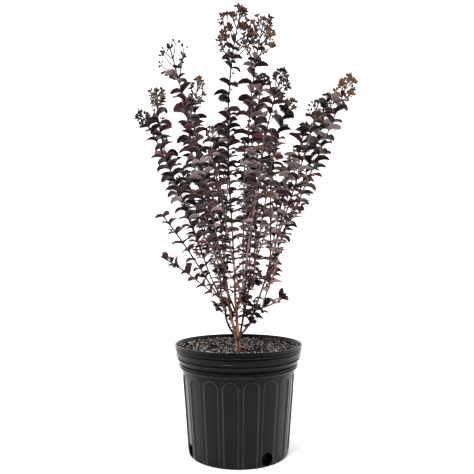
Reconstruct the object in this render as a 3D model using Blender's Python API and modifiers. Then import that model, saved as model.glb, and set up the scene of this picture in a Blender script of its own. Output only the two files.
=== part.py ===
"""Potted crape myrtle: a many-stemmed young shrub with dark leaves in a fluted nursery pot.

Metres, +Z up. The origin is the centre of the pot's flat underside.
A short trunk rises from the potting mix and forks into stems, and these fork into boughs. Each
bough carries a mass of foliage: shoots with opposite leaves in crossed pairs, and on the outer
shoots a small flower panicle at the tip.
"""
import math
import random

import bmesh
import bpy
import numpy as np
from mathutils import Matrix, Vector
from mathutils.bvhtree import BVHTree

MM = 0.001
GAP = 0.3 * MM
SEED = 12

# Pot: outer radii and heights of the lip, the stepped collar and the tapering wall
POT_HEIGHT = 238 * MM
LIP_RADIUS = 139.7 * MM
LIP_DEPTH = 12 * MM
LIP_THICKNESS = 3 * MM
LIP_EDGE = 1.2 * MM
COLLAR_FOOT = 185.5 * MM
COLLAR_RINGS = ((136.6 * MM, 223.5 * MM, 214.5 * MM),
                (133.8 * MM, 212.5 * MM, 205.0 * MM),
                (129.0 * MM, 203.2 * MM, 196.8 * MM),
                (130.4 * MM, 195.0 * MM, 187.0 * MM))
RING_TAPER = 0.4 * MM
RING_THICKNESS = (1.8 * MM, 2.4 * MM, 6 * MM)
WALL_TOP_RADIUS = 123.4 * MM
WALL_FOOT_RADIUS = 109.3 * MM
FOOT_ROUND = 2.6 * MM
FLOOR = 4 * MM
WALL = 4 * MM
POT_STEPS = 36

# Flutes: flat arched panels sunk in the wall, and the drain holes at the foot of four of them
FLUTES = 18
FLUTE_PHASE = 2.36
FLUTE_TOP = 177.5 * MM
FLUTE_CUT = 12 * MM
FLUTE_ARCH_STEPS = 6
BELOW_FOOT = 4 * MM
FLUTE_TOP_WIDTH = 33 * MM
FLUTE_FOOT_WIDTH = 29.5 * MM
FLUTE_EDGE_DEPTH = 1.0 * MM
HOLE_RADIUS = 12 * MM
HOLE_HEIGHT = 14.5 * MM
HOLE_SIDES = 12
HOLE_CUT = 24 * MM
HOLE_FLUTES = (1, 5, 10, 14)

SOIL_TOP = 229 * MM

# Wood: the place of the trunk's foot, the sizes of forks, and half thicknesses
TRUNK_FOOT = Vector((0.0, -0.055, SOIL_TOP))
LIMB_SIDES = 6
LIMB_POINTS = 4
SHOOT_POINTS = 6
SQUARE_START = 4 * MM
STUB_LENGTH = 11 * MM
STUB_SINK = 3 * MM
STUB_SPREAD = 3.4 * MM
STUB_ROOM = 1.0 * MM
STUB_PASSES = 60
FLARE = 1.15
FLARE_HEIGHT = 9 * MM
MASS_STEM_RADIUS = 1.5 * MM
MASS_FORK = 24 * MM
TWIG_RADIUS = 1.15 * MM
TIP_RADIUS = 0.7 * MM

# Leaves: larger than the living ones, which are about 38 by 17 mm and twice as many
LEAF_LENGTH = 56 * MM
LEAF_WIDTH = 32 * MM
LEAF_THICKNESS = 1.3 * MM
LEAF_ARCH = 0.15
LEAF_FOLD = math.radians(38)
LEAF_RISE = math.radians(24)
LEAF_LEAN = 0.35
LEAF_PITCH = 41 * MM
PAIR_CROSSING = math.radians(72)
END_LEAF_SIZE = 0.72
ROOT_SINK = 0.25
LEAF_CLEAR = 5 * MM
BARE_FOOT = 16 * MM
BARE_FORK = 30 * MM
SIDE_TWIG = 46 * MM
SIDE_TWIG_EVERY = 6
SIDE_TWIG_RISE = 0.9
SIDE_LEAF_SIZE = 0.62
PANICLE_PITCH = 26 * MM
PANICLE_REACH = (0.22, 0.25)
PANICLE_RISE = 0.95
BUD_LENGTH = 10 * MM
BUD_WIDTH = 7 * MM

COLOURS = {
    "pot": ((0.016, 0.016, 0.017), 0.42),
    "soil": ((0.045, 0.032, 0.024), 0.95),
    "old bark": ((0.270, 0.150, 0.080), 0.80),
    "young bark": ((0.075, 0.035, 0.028), 0.75),
    "foliage": ((0.040, 0.018, 0.021), 0.55),
}

# Limbs: name, the limb that it forks from, where it ends, the sideways bow of its middle,
# and its half thickness at the foot and the tip
LIMBS = (
    ("trunk", None, (-0.001, -0.0545, 0.250), 0.000, 5.0, 4.8),
    ("stem_centre", "trunk", (-0.004, -0.058, 0.300), 0.000, 3.2, 3.0),
    ("stem_left", "trunk", (-0.028, -0.042, 0.312), -0.005, 2.3, 2.2),
    ("stem_mid", "trunk", (0.013, -0.033, 0.314), 0.000, 2.4, 2.3),
    ("stem_right", "trunk", (0.029, -0.058, 0.303), 0.004, 2.3, 2.2),
    ("stem_back", "trunk", (-0.006, -0.012, 0.306), 0.000, 2.5, 2.3),
    ("bough_left_tall", "trunk", (-0.021, -0.064, 0.348), -0.002, 3.1, 2.3),
    ("bough_centre", "stem_centre", (-0.008, -0.046, 0.368), -0.001, 2.7, 2.3),
    ("bough_front", "stem_centre", (0.004, -0.088, 0.340), 0.000, 2.2, 2.0),
    ("bough_left_outer", "stem_left", (-0.056, -0.034, 0.376), 0.002, 2.1, 1.8),
    ("bough_left_inner", "stem_left", (-0.039, -0.016, 0.374), -0.003, 2.1, 1.8),
    ("bough_centre_right", "stem_mid", (0.016, -0.020, 0.374), -0.001, 2.2, 1.9),
    ("bough_right_inner", "stem_mid", (0.028, -0.046, 0.374), -0.002, 2.1, 1.8),
    ("bough_right", "stem_right", (0.064, -0.054, 0.405), 0.002, 2.3, 2.0),
    ("bough_back_left", "stem_back", (-0.028, 0.026, 0.356), 0.000, 2.2, 1.9),
    ("bough_back_right", "stem_back", (0.020, 0.030, 0.360), 0.000, 2.2, 1.9),
)

# Limbs whose bark has turned tan. The others are still dark.
OLD_WOOD = ("trunk", "stem_centre", "stem_right", "bough_centre", "bough_left_tall",
            "bough_front", "bough_right")

# Masses: name, the limb that carries it, and its shoots. A shoot is the place of its tip,
# the sideways bow of its middle and the height of its panicle, which is 0 for a leafy tip.
MASSES = (
    ("mass_centre", "bough_centre", (
        (0.008, -0.020, 0.975, -0.024, 0.088),
        (-0.040, -0.075, 0.690, -0.010, 0.000))),
    ("mass_centre_right", "bough_centre_right", (
        (0.060, 0.030, 0.975, -0.018, 0.080),
        (0.066, 0.095, 0.870, -0.016, 0.040))),
    ("mass_left_tall", "bough_left_tall", (
        (-0.147, -0.050, 0.876, 0.004, 0.074),
        (-0.090, -0.112, 0.690, 0.000, 0.000))),
    ("mass_left_outer", "bough_left_outer", (
        (-0.210, -0.060, 0.736, 0.012, 0.036),
        (-0.189, 0.050, 0.819, -0.022, 0.040))),
    ("mass_left_inner", "bough_left_inner", (
        (-0.091, 0.070, 0.855, -0.026, 0.040),
        (-0.128, 0.130, 0.820, -0.012, 0.026))),
    ("mass_left_low", "stem_left", (
        (-0.159, -0.070, 0.514, 0.004, 0.000),
        (-0.153, -0.104, 0.425, 0.006, 0.000))),
    ("mass_right_inner", "bough_right_inner", (
        (0.096, -0.070, 0.820, -0.018, 0.048),
        (0.072, -0.124, 0.650, 0.000, 0.000))),
    ("mass_right_middle", "bough_right", (
        (0.132, 0.100, 0.812, -0.026, 0.042),
        (0.118, 0.030, 0.640, 0.000, 0.000))),
    ("mass_right_outer", "bough_right", (
        (0.245, -0.020, 0.827, 0.004, 0.044),
        (0.217, 0.090, 0.821, 0.010, 0.030))),
    ("mass_right_side", "bough_right", (
        (0.163, -0.100, 0.745, 0.004, 0.030),
        (0.145, -0.035, 0.718, 0.002, 0.026))),
    ("mass_right_low", "stem_right", (
        (0.092, -0.100, 0.345, 0.006, 0.000),
        (0.078, -0.150, 0.440, 0.004, 0.000))),
    ("mass_front_left", "bough_front", (
        (-0.048, -0.215, 0.610, 0.000, 0.000),
        (-0.070, -0.150, 0.470, 0.000, 0.000))),
    ("mass_front_right", "bough_front", (
        (0.046, -0.228, 0.640, 0.000, 0.000),
        (0.012, -0.150, 0.640, 0.000, 0.000))),
    ("mass_back_left", "bough_back_left", (
        (-0.068, 0.190, 0.770, 0.000, 0.034),
        (-0.146, 0.160, 0.650, 0.000, 0.026),
        (-0.020, 0.112, 0.790, 0.000, 0.000))),
    ("mass_back_right", "bough_back_right", (
        (0.058, 0.196, 0.810, 0.000, 0.034),
        (0.146, 0.166, 0.690, 0.000, 0.026),
        (0.030, 0.130, 0.640, 0.000, 0.000))),
)


def clear_scene():
    """Take away whatever the file already holds."""
    for thing in list(bpy.data.objects):
        bpy.data.objects.remove(thing)


def make_collection(name):
    group = bpy.data.collections.new(name)
    bpy.context.scene.collection.children.link(group)
    return group


def make_material(name, look):
    """A material of one of the looks, for one object."""
    colour, roughness = COLOURS[look]
    finish = bpy.data.materials.new(name)
    finish.use_nodes = True
    shader = finish.node_tree.nodes["Principled BSDF"]
    shader.inputs["Base Color"].default_value = (*colour, 1.0)
    shader.inputs["Roughness"].default_value = roughness
    shader.inputs["Metallic"].default_value = 0.0
    return finish


def make_object(name, data, group, finish=None):
    thing = bpy.data.objects.new(name, data)
    group.objects.link(thing)
    if finish:
        data.materials.append(finish)
    return thing


def hide_guide(thing):
    thing.hide_render = True
    thing.display_type = "WIRE"


def evaluated_mesh(thing):
    """The mesh of an object with its modifiers, or of a curve, in the object's own space."""
    bpy.context.view_layer.update()
    graph = bpy.context.evaluated_depsgraph_get()
    mesh = bpy.data.meshes.new_from_object(thing.evaluated_get(graph))
    mesh.transform(thing.matrix_world)
    return mesh


def close_seams(mesh, distance=0.01 * MM):
    """Weld a curve's loose caps to its sides and point every face outwards."""
    form = bmesh.new()
    form.from_mesh(mesh)
    bmesh.ops.remove_doubles(form, verts=form.verts, dist=distance)
    bmesh.ops.recalc_face_normals(form, faces=form.faces)
    form.to_mesh(mesh)
    form.free()
    return mesh


def add_boolean(thing, operation, cutter):
    cut = thing.modifiers.new(cutter.name, "BOOLEAN")
    cut.operation = operation
    cut.solver = "EXACT"
    cut.object = cutter


def turned(name, profile, group, finish):
    """Turn a closed profile of (radius, height) points about the Z axis."""
    mesh = bpy.data.meshes.new(name)
    count = len(profile)
    edges = [(i, (i + 1) % count) for i in range(count)
             if profile[i][0] > 0 or profile[(i + 1) % count][0] > 0]
    mesh.from_pydata([(r, 0.0, z) for r, z in profile], edges, [])
    thing = make_object(name, mesh, group, finish)
    screw = thing.modifiers.new("turn", "SCREW")
    screw.axis = "Z"
    screw.steps = POT_STEPS
    screw.render_steps = POT_STEPS
    screw.use_merge_vertices = True
    screw.merge_threshold = 0.00001
    return thing


def inner_wall():
    """The pot's inner line from the foot to the rim, as (radius, height)."""
    high, middle, low = RING_THICKNESS
    return [(WALL_FOOT_RADIUS - WALL, FLOOR),
            (WALL_TOP_RADIUS - WALL, COLLAR_FOOT - 2 * MM),
            (COLLAR_RINGS[3][0] - low, COLLAR_RINGS[3][2] + 1 * MM),
            (COLLAR_RINGS[2][0] - middle, COLLAR_RINGS[2][1]),
            (COLLAR_RINGS[0][0] - high, POT_HEIGHT - LIP_DEPTH),
            (LIP_RADIUS - LIP_THICKNESS, POT_HEIGHT)]


def flute_angle(index):
    """Turn of a flute about Z, where 0 faces -Y."""
    return math.radians(FLUTE_PHASE + 10.0 + index * 360.0 / FLUTES)


def arch_outline():
    """A flute's outline: straight sides that close in downwards, and a half-round top."""
    spring = FLUTE_TOP - FLUTE_TOP_WIDTH / 2
    points = [(-FLUTE_FOOT_WIDTH / 2, -BELOW_FOOT), (FLUTE_FOOT_WIDTH / 2, -BELOW_FOOT)]
    for step in range(FLUTE_ARCH_STEPS + 1):
        turn = math.pi * step / FLUTE_ARCH_STEPS
        points.append((FLUTE_TOP_WIDTH / 2 * math.cos(turn),
                       spring + FLUTE_TOP_WIDTH / 2 * math.sin(turn)))
    return points


def flute_cutter(group):
    """Eighteen arched blocks whose flat inner faces sink the flutes in the wall."""
    outline = arch_outline()
    data = bpy.data.curves.new("arch", "CURVE")
    data.dimensions = "2D"
    data.fill_mode = "BOTH"
    data.extrude = FLUTE_CUT / 2
    spline = data.splines.new("POLY")
    spline.points.add(len(outline) - 1)
    for point, (x, z) in zip(spline.points, outline):
        point.co = (x, z, 0.0, 1.0)
    spline.use_cyclic_u = True
    arch = make_object("arch", data, group)
    block = close_seams(evaluated_mesh(arch))
    bpy.data.objects.remove(arch)
    slope = math.atan2(WALL_TOP_RADIUS - WALL_FOOT_RADIUS, COLLAR_FOOT)
    half_angle = FLUTE_TOP_WIDTH / 2 / WALL_TOP_RADIUS
    face = WALL_FOOT_RADIUS * math.cos(half_angle) - FLUTE_EDGE_DEPTH
    form = bmesh.new()
    for index in range(FLUTES):
        copy = block.copy()
        stand = Matrix.Rotation(math.pi / 2 + slope, 4, "X")
        out = Matrix.Translation((0.0, -face - FLUTE_CUT / 2, 0.0))
        copy.transform(Matrix.Rotation(flute_angle(index), 4, "Z") @ out @ stand)
        form.from_mesh(copy)
        bpy.data.meshes.remove(copy)
    mesh = bpy.data.meshes.new("flutes")
    form.to_mesh(mesh)
    form.free()
    cutter = make_object("flutes", mesh, group)
    hide_guide(cutter)
    return cutter


def hole_cutter(group):
    """Four short bars that pierce the wall at the foot of their flutes."""
    form = bmesh.new()
    for index in HOLE_FLUTES:
        place = (Matrix.Rotation(flute_angle(index), 4, "Z")
                 @ Matrix.Translation((0.0, -WALL_FOOT_RADIUS, HOLE_HEIGHT))
                 @ Matrix.Rotation(math.pi / 2, 4, "X"))
        bmesh.ops.create_cone(form, cap_ends=True, segments=HOLE_SIDES, radius1=HOLE_RADIUS,
                              radius2=HOLE_RADIUS, depth=HOLE_CUT, matrix=place)
    mesh = bpy.data.meshes.new("holes")
    form.to_mesh(mesh)
    form.free()
    cutter = make_object("holes", mesh, group)
    hide_guide(cutter)
    return cutter


def make_pot(parts, cutters):
    outer = [(LIP_RADIUS - LIP_EDGE, POT_HEIGHT),
             (LIP_RADIUS, POT_HEIGHT - LIP_EDGE),
             (LIP_RADIUS, POT_HEIGHT - LIP_DEPTH)]
    for radius, top, foot in COLLAR_RINGS:
        outer += [(radius, top), (radius - RING_TAPER, foot)]
    outer += [(WALL_TOP_RADIUS, COLLAR_FOOT),
              (WALL_FOOT_RADIUS, FOOT_ROUND),
              (WALL_FOOT_RADIUS - 0.3 * FOOT_ROUND, 0.3 * FOOT_ROUND),
              (WALL_FOOT_RADIUS - FOOT_ROUND, 0.0),
              (0.0, 0.0),
              (0.0, FLOOR)]
    pot = turned("pot", outer + inner_wall(), parts, make_material("pot", "pot"))
    add_boolean(pot, "DIFFERENCE", flute_cutter(cutters))
    add_boolean(pot, "DIFFERENCE", hole_cutter(cutters))


def make_soil(parts):
    """Potting mix that fills the pot, clear of its floor and wall by a small gap."""
    wall = inner_wall()
    (low_r, low_z), (high_r, high_z) = wall[4], wall[5]
    share = (SOIL_TOP - low_z) / (high_z - low_z)
    edge = low_r + share * (high_r - low_r)
    side = [(r - 1.3 * GAP, z) for r, z in reversed(wall[1:5])]
    foot = (wall[0][0] - 1.3 * GAP, FLOOR + GAP)
    profile = [(edge - 1.3 * GAP, SOIL_TOP)] + side + [foot, (0.0, FLOOR + GAP), (0.0, SOIL_TOP)]
    turned("soil", profile, parts, make_material("soil", "soil"))


def bowed_path(start, end, bow, count):
    """Points of a line from start to end whose middle is pushed sideways by the bow."""
    points = []
    for step in range(count):
        t = step / (count - 1)
        swell = 4 * t * (1 - t)
        point = start.lerp(end, t)
        point.x += bow * swell
        points.append(point)
    return points


def triangle_profile(group):
    """The three-sided section of every shoot and twig, drawn at a radius of one metre."""
    data = bpy.data.curves.new("three_sides", "CURVE")
    spline = data.splines.new("POLY")
    spline.points.add(2)
    for index, point in enumerate(spline.points):
        turn = 2 * math.pi * index / 3
        point.co = (math.cos(turn), math.sin(turn), 0.0, 1.0)
    spline.use_cyclic_u = True
    section = make_object("three_sides", data, group)
    hide_guide(section)
    return section


def tube(points, radii, group, section=None):
    """A closed tapering tube along points. It has three sides with a section, otherwise six."""
    data = bpy.data.curves.new("tube", "CURVE")
    data.dimensions = "3D"
    data.use_fill_caps = True
    if section:
        data.bevel_mode = "OBJECT"
        data.bevel_object = section
    else:
        data.bevel_depth = 1.0
        data.bevel_resolution = (LIMB_SIDES - 4) // 2
    spline = data.splines.new("POLY")
    spline.points.add(len(points) - 1)
    for knot, place, radius in zip(spline.points, points, radii):
        knot.co = (*place, 1.0)
        knot.radius = radius
    guide = make_object("tube", data, group)
    mesh = close_seams(evaluated_mesh(guide))
    bpy.data.objects.remove(guide)
    bpy.data.curves.remove(data)
    return mesh


def keep_body(mesh):
    """Keep the largest body of a mesh, without loose scraps and the walls of sealed hollows."""
    form = bmesh.new()
    form.from_mesh(mesh)
    bmesh.ops.triangulate(form, faces=form.faces)
    unseen = set(form.faces)
    bodies = []
    while unseen:
        body = set()
        front = [unseen.pop()]
        while front:
            face = front.pop()
            body.add(face)
            for edge in face.edges:
                for other in edge.link_faces:
                    if other in unseen:
                        unseen.discard(other)
                        front.append(other)
        bodies.append(body)
    bodies.sort(key=len)
    loose = [face for body in bodies[:-1] for face in body]
    bmesh.ops.delete(form, geom=loose, context="FACES")
    form.to_mesh(mesh)
    form.free()
    return mesh


def join_pieces(name, pieces, group, finish):
    """Join overlapping closed pieces into one body by one Boolean union on a collection."""
    bunch = make_collection(name + "_pieces")
    for index, piece in enumerate(pieces[1:]):
        make_object(f"{name}_piece_{index}", piece, bunch)
    thing = make_object(name, pieces[0], group, finish)
    union = thing.modifiers.new("union", "BOOLEAN")
    union.operation = "UNION"
    union.operand_type = "COLLECTION"
    union.collection = bunch
    union.solver = "MANIFOLD"
    joined = keep_body(evaluated_mesh(thing))
    thing.modifiers.clear()
    thing.data = joined
    if not joined.materials:
        joined.materials.append(finish)
    for piece in list(bunch.objects):
        bpy.data.objects.remove(piece)
    bpy.data.collections.remove(bunch)
    return thing


def fork_stubs(tip, heading, children):
    """Short stubs from a fork: the end and direction of each, pushed apart by their thickness."""
    aims = []
    for target, _ in children:
        aim = target - tip
        aims.append((aim - heading * aim.dot(heading)).normalized() * STUB_SPREAD)
    for _ in range(STUB_PASSES):
        for i, first in enumerate(aims):
            for j, second in enumerate(aims[:i]):
                room = children[i][1] + children[j][1] + STUB_ROOM
                apart = first - second
                if apart.length < room:
                    shift = apart.normalized() * (room - apart.length) / 2
                    first += shift
                    second -= shift
    return [tip + heading * STUB_LENGTH + aim for aim in aims]


def limb_children(name):
    """What grows from a limb: boughs by their ends, masses by the mean of their tips."""
    children = {}
    for limb, parent, end, _, foot, _ in LIMBS:
        if parent == name:
            children[limb] = (Vector(end), foot * MM)
    for mass, parent, shoots in MASSES:
        if parent == name:
            mean = sum((Vector(shoot[:3]) for shoot in shoots), Vector()) / len(shoots)
            children[mass] = (mean, MASS_STEM_RADIUS)
    return children


def make_limbs(parts, scratch):
    """Trunk, stems and boughs, each one tapering limb. Returns the cut each child starts at."""
    cuts = {}
    for name, parent, end, bow, foot, tip in LIMBS:
        end = Vector(end)
        foot *= MM
        tip *= MM
        if parent is None:
            start = TRUNK_FOOT + Vector((0, 0, GAP))
            path = bowed_path(start, end, bow, LIMB_POINTS)
            path.insert(1, start + Vector((0, 0, FLARE_HEIGHT)))
            widths = [foot * FLARE] + list(np.linspace(foot, tip, LIMB_POINTS))
        else:
            start, heading = cuts[name]
            start = start + heading * GAP
            path = bowed_path(start, end, bow, LIMB_POINTS)
            path.insert(1, start + heading * SQUARE_START)
            widths = [foot] + list(np.linspace(foot, tip, LIMB_POINTS))
        heading = (path[-1] - path[-2]).normalized()
        children = limb_children(name)
        pieces = [tube(path, widths, scratch)]
        if len(children) == 1:
            for child in children:
                cuts[child] = (path[-1], heading)
        else:
            root = path[-1] - heading * STUB_SINK
            tops = fork_stubs(path[-1], heading, list(children.values()))
            for (child, (_, width)), top in zip(children.items(), tops):
                pieces.append(tube([root, top], [0.8 * tip, width], scratch))
                cuts[child] = (top, (top - root).normalized())
        finish = make_material(name, "old bark" if name in OLD_WOOD else "young bark")
        if len(pieces) > 1:
            limb = join_pieces(name, pieces, parts, finish)
        else:
            limb = make_object(name, pieces[0], parts, finish)
        limb.data.shade_smooth()
        limb.data.set_sharp_from_angle(angle=math.radians(50))
    return cuts


def octahedron():
    form = bmesh.new()
    bmesh.ops.create_uvsphere(form, u_segments=4, v_segments=2, radius=1.0)
    return form


def leaf_mesh(root, along, normal, length, width, swell=0.0):
    """One arched blade, folded up along its midrib, that runs from root for its length."""
    across = normal.cross(along).normalized()
    form = octahedron()
    thick = LEAF_THICKNESS / 2 + swell
    for vertex in form.verts:
        side, up, run = vertex.co.x, vertex.co.y, vertex.co.z
        reach = 0.5 * (1 + run) * length + run * swell
        rise = LEAF_ARCH * length * (1 - run * run)
        rise += abs(side) * math.sin(LEAF_FOLD) * width / 2
        vertex.co = (root + along * reach
                     + across * side * (math.cos(LEAF_FOLD) * width / 2 + swell)
                     + normal * (rise + up * thick))
    mesh = bpy.data.meshes.new("leaf")
    form.to_mesh(mesh)
    form.free()
    return mesh


def segment_distances(points, starts, ends):
    """Distance from each point to each straight segment."""
    lines = ends - starts
    lengths = np.maximum((lines * lines).sum(axis=1), 1e-12)
    offsets = points[:, None, :] - starts[None, :, :]
    share = np.clip((offsets * lines).sum(axis=2) / lengths, 0.0, 1.0)
    nearest = starts + share[:, :, None] * lines
    return np.linalg.norm(points[:, None, :] - nearest, axis=2)


def search_tree(mesh):
    return BVHTree.FromPolygons([v.co for v in mesh.vertices],
                                [tuple(p.vertices) for p in mesh.polygons])


class Space:
    """The room of every mass: the points that lie nearer to its own shoots than to others'."""

    def __init__(self, axes, woods):
        self.blades = []
        self.owners = []
        starts = []
        ends = []
        for owner, path in axes:
            for first, second in zip(path, path[1:]):
                self.owners.append(owner)
                starts.append(first)
                ends.append(second)
        self.owners = np.array(self.owners)
        self.starts = np.array([tuple(p) for p in starts])
        self.ends = np.array([tuple(p) for p in ends])
        self.woods = woods

    def keeps(self, owner, mesh):
        """True where a piece stays in its mass's own room and touches no limb."""
        points = np.array([tuple(v.co) for v in mesh.vertices])
        middles = np.array([(points[e.vertices[0]] + points[e.vertices[1]]) / 2 for e in mesh.edges])
        distances = segment_distances(np.vstack([points, middles]), self.starts, self.ends)
        own = distances[:, self.owners == owner].min(axis=1)
        others = distances[:, self.owners != owner].min(axis=1)
        if (own > others - 1.0 * MM).any():
            return False
        return not search_tree(mesh).overlap(self.woods)

    def open_mass(self, stems):
        """Start on a mass: its own shoots are all that its leaves can meet so far."""
        self.blades = [search_tree(stem) for stem in stems]

    def parts_from_mates(self, mesh):
        """True where a leaf, root aside, touches no leaf or shoot of its own mass. It is kept."""
        tree = search_tree(mesh)
        if any(tree.overlap(blade) for blade in self.blades):
            return False
        self.blades.append(tree)
        return True


def wood_tree(parts):
    """One search tree of every limb, the pot and the soil."""
    places = []
    faces = []
    for thing in parts.objects:
        mesh = evaluated_mesh(thing)
        base = len(places)
        places += [v.co.copy() for v in mesh.vertices]
        faces += [tuple(base + i for i in p.vertices) for p in mesh.polygons]
    return BVHTree.FromPolygons(places, faces)


def shoot_frame(tangent):
    """Two directions across a shoot: one close to +X, and one square to it."""
    side = (Vector((1, 0, 0)) - tangent * tangent.x).normalized()
    return side, tangent.cross(side)


def walk(path, distance):
    """The point and direction at a distance along a path."""
    for first, second in zip(path, path[1:]):
        span = (second - first).length
        if distance <= span:
            return first.lerp(second, distance / span), (second - first) / span
        distance -= span
    return path[-1], (path[-1] - path[-2]).normalized()


def path_length(path):
    return sum((b - a).length for a, b in zip(path, path[1:]))


def leaf_pair(owner, place, tangent, turn, size, space, rng, radius):
    """Two leaves on opposite sides of a shoot. A leaf that doesn't fit is tried smaller."""
    side, front = shoot_frame(tangent)
    leaves = []
    for half in (0.0, math.pi):
        angle = turn + half + rng.uniform(-0.2, 0.2)
        out = side * math.cos(angle) + front * math.sin(angle)
        rise = LEAF_RISE + rng.uniform(-0.18, 0.18)
        along = (out * math.cos(rise) + Vector((0, 0, 1)) * math.sin(rise)).normalized()
        upward = (Vector((0, 0, 1)) + LEAF_LEAN * tangent).normalized()
        normal = (upward - along * upward.dot(along)).normalized()
        root = place - along * radius * ROOT_SINK
        for scale in (1.0, 0.82, 0.66):
            length = LEAF_LENGTH * size * scale
            width = LEAF_WIDTH * size * scale
            if not space.keeps(owner, leaf_mesh(root, along, normal, length, width, 0.5 * MM)):
                continue
            free = root + along * LEAF_CLEAR
            if not space.parts_from_mates(leaf_mesh(free, along, normal, length - LEAF_CLEAR,
                                                    width, 0.4 * MM)):
                continue
            leaves.append(leaf_mesh(root, along, normal, length, width))
            break
    return leaves


def dress_twig(owner, path, first, pitch, turn, sizes, space, rng, radius):
    """Leaf pairs along a path, turned to either side of its plane by half the crossing."""
    leaves = []
    length = path_length(path)
    count = max(1, int((length - first) / pitch) + 1)
    for index in range(count):
        distance = first + index * pitch
        if distance > length - 2 * MM:
            break
        place, tangent = walk(path, distance)
        share = distance / length
        size = sizes[0] + (sizes[1] - sizes[0]) * share
        cross = PAIR_CROSSING / 2 if index % 2 else -PAIR_CROSSING / 2
        leaves += leaf_pair(owner, place, tangent, turn + cross, size, space, rng, radius)
    return leaves


def budded_stalk(root, end, scratch, section):
    """A thin stalk that swells at its end into one knot of flower buds."""
    knot = end - (end - root).normalized() * 0.55 * BUD_LENGTH
    return tube([root, knot, end], [TIP_RADIUS, BUD_WIDTH / 2, 0.4 * TIP_RADIUS],
                scratch, section)


def panicle(owner, tip, heading, height, space, rng, scratch, section):
    """A shoot's flower head: short side stalks in crossed pairs, each with a knot of buds."""
    pieces = []
    side, front = shoot_frame(heading)
    levels = max(1, round(height / PANICLE_PITCH))
    for level in range(levels):
        below = height * (1 - level / levels)
        root = tip - heading * below
        reach = (PANICLE_REACH[0] + PANICLE_REACH[1] * (1 - level / levels)) * height + 5 * MM
        for half in (0.0, math.pi):
            angle = level * math.pi / 2 + half + rng.uniform(-0.3, 0.3) + 0.3
            out = side * math.cos(angle) + front * math.sin(angle)
            aim = (out + PANICLE_RISE * heading).normalized()
            end = root + aim * reach
            stalk = budded_stalk(root - aim * ROOT_SINK * TIP_RADIUS, end, scratch, section)
            if space.keeps(owner, stalk):
                pieces.append(stalk)
    return pieces


def shoot_paths(cut, shoots):
    """The paths of a mass's shoots. The first is the stem, and the others fork from it."""
    start, heading = cut
    start = start + heading * GAP
    paths = []
    for index, (x, y, z, bow, _) in enumerate(shoots):
        tip = Vector((x, y, z))
        if index == 0:
            path = bowed_path(start, tip, bow, SHOOT_POINTS)
            path.insert(1, start + heading * SQUARE_START)
        else:
            fork = walk(paths[0], MASS_FORK)[0]
            path = bowed_path(fork, tip, bow, SHOOT_POINTS)
        paths.append(path)
    return paths


def make_mass(owner, name, paths, shoots, space, parts, scratch, section):
    """One mass of foliage: its shoots, side twigs, leaves and panicles, joined in one body."""
    rng = random.Random(SEED + owner)
    pieces = []
    extras = []
    for index, path in enumerate(paths):
        foot = MASS_STEM_RADIUS if index == 0 else TWIG_RADIUS
        widths = np.linspace(foot, TIP_RADIUS, len(path))
        pieces.append(tube(path, list(widths), scratch, section))
    space.open_mass(pieces)
    for index, (path, shoot) in enumerate(zip(paths, shoots)):
        length = path_length(path)
        height = shoot[4]
        turn = rng.uniform(-0.35, 0.35)
        leafy = length - height
        stem = [walk(path, leafy * t / 6)[0] for t in range(7)]
        first = BARE_FOOT if index == 0 else BARE_FORK
        extras += dress_twig(owner, stem, first, LEAF_PITCH, turn, (1.0, END_LEAF_SIZE), space,
                             rng, TWIG_RADIUS)
        twigs = int((leafy - first) / (LEAF_PITCH * SIDE_TWIG_EVERY))
        for number in range(twigs):
            distance = first + (number * SIDE_TWIG_EVERY + 1.5) * LEAF_PITCH
            root, tangent = walk(stem, distance)
            side, front = shoot_frame(tangent)
            angle = turn + rng.uniform(0, 2 * math.pi)
            out = side * math.cos(angle) + front * math.sin(angle)
            aim = (out + SIDE_TWIG_RISE * tangent).normalized()
            reach = SIDE_TWIG * rng.uniform(0.7, 1.15)
            twig = tube([root - aim * 0.4 * TIP_RADIUS, root + aim * reach],
                        [TIP_RADIUS, TIP_RADIUS * 0.8], scratch, section)
            free = root + aim * LEAF_CLEAR
            bare = tube([free, root + aim * reach], [TIP_RADIUS, TIP_RADIUS], scratch, section)
            if not space.keeps(owner, twig) or not space.parts_from_mates(bare):
                continue
            extras.append(twig)
            extras += dress_twig(owner, [root, root + aim * reach], reach - 8 * MM, LEAF_PITCH,
                                 rng.uniform(0, math.pi), (SIDE_LEAF_SIZE, SIDE_LEAF_SIZE),
                                 space, rng, TIP_RADIUS)
        heading = (path[-1] - path[-2]).normalized()
        if height > 0:
            extras += panicle(owner, path[-1], heading, height, space, rng, scratch, section)
        else:
            extras += leaf_pair(owner, path[-1] - heading * 3 * MM, heading, turn, 0.6,
                                space, rng, TIP_RADIUS)
    thing = join_pieces(name, pieces + extras, parts, make_material(name, "foliage"))
    thing.data.shade_smooth()
    thing.data.set_sharp_from_angle(angle=math.radians(40))


def build():
    clear_scene()
    parts = make_collection("potted_crape_myrtle")
    cutters = make_collection("cutters")
    scratch = make_collection("guides")
    make_pot(parts, cutters)
    make_soil(parts)
    cuts = make_limbs(parts, scratch)
    section = triangle_profile(scratch)
    paths = [shoot_paths(cuts[name], shoots) for name, _, shoots in MASSES]
    axes = [(owner, path) for owner, group in enumerate(paths) for path in group]
    space = Space(axes, wood_tree(parts))
    for owner, (name, _, shoots) in enumerate(MASSES):
        make_mass(owner, name, paths[owner], shoots, space, parts, scratch, section)
    bpy.data.objects.remove(section)
    bpy.data.collections.remove(scratch)


build()
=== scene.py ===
"""Potted crape myrtle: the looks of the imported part, laid out as a Blender add-on.

Metres, +Z up. The origin is the centre of the pot's flat underside and the viewer stands at -Y.
The shrub grows by a rule: a short trunk forks into stems and boughs, each bough carries a mass
of shoots, and the shoots bear opposite leaves in crossed pairs, side twigs and flower heads.
"""

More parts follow.
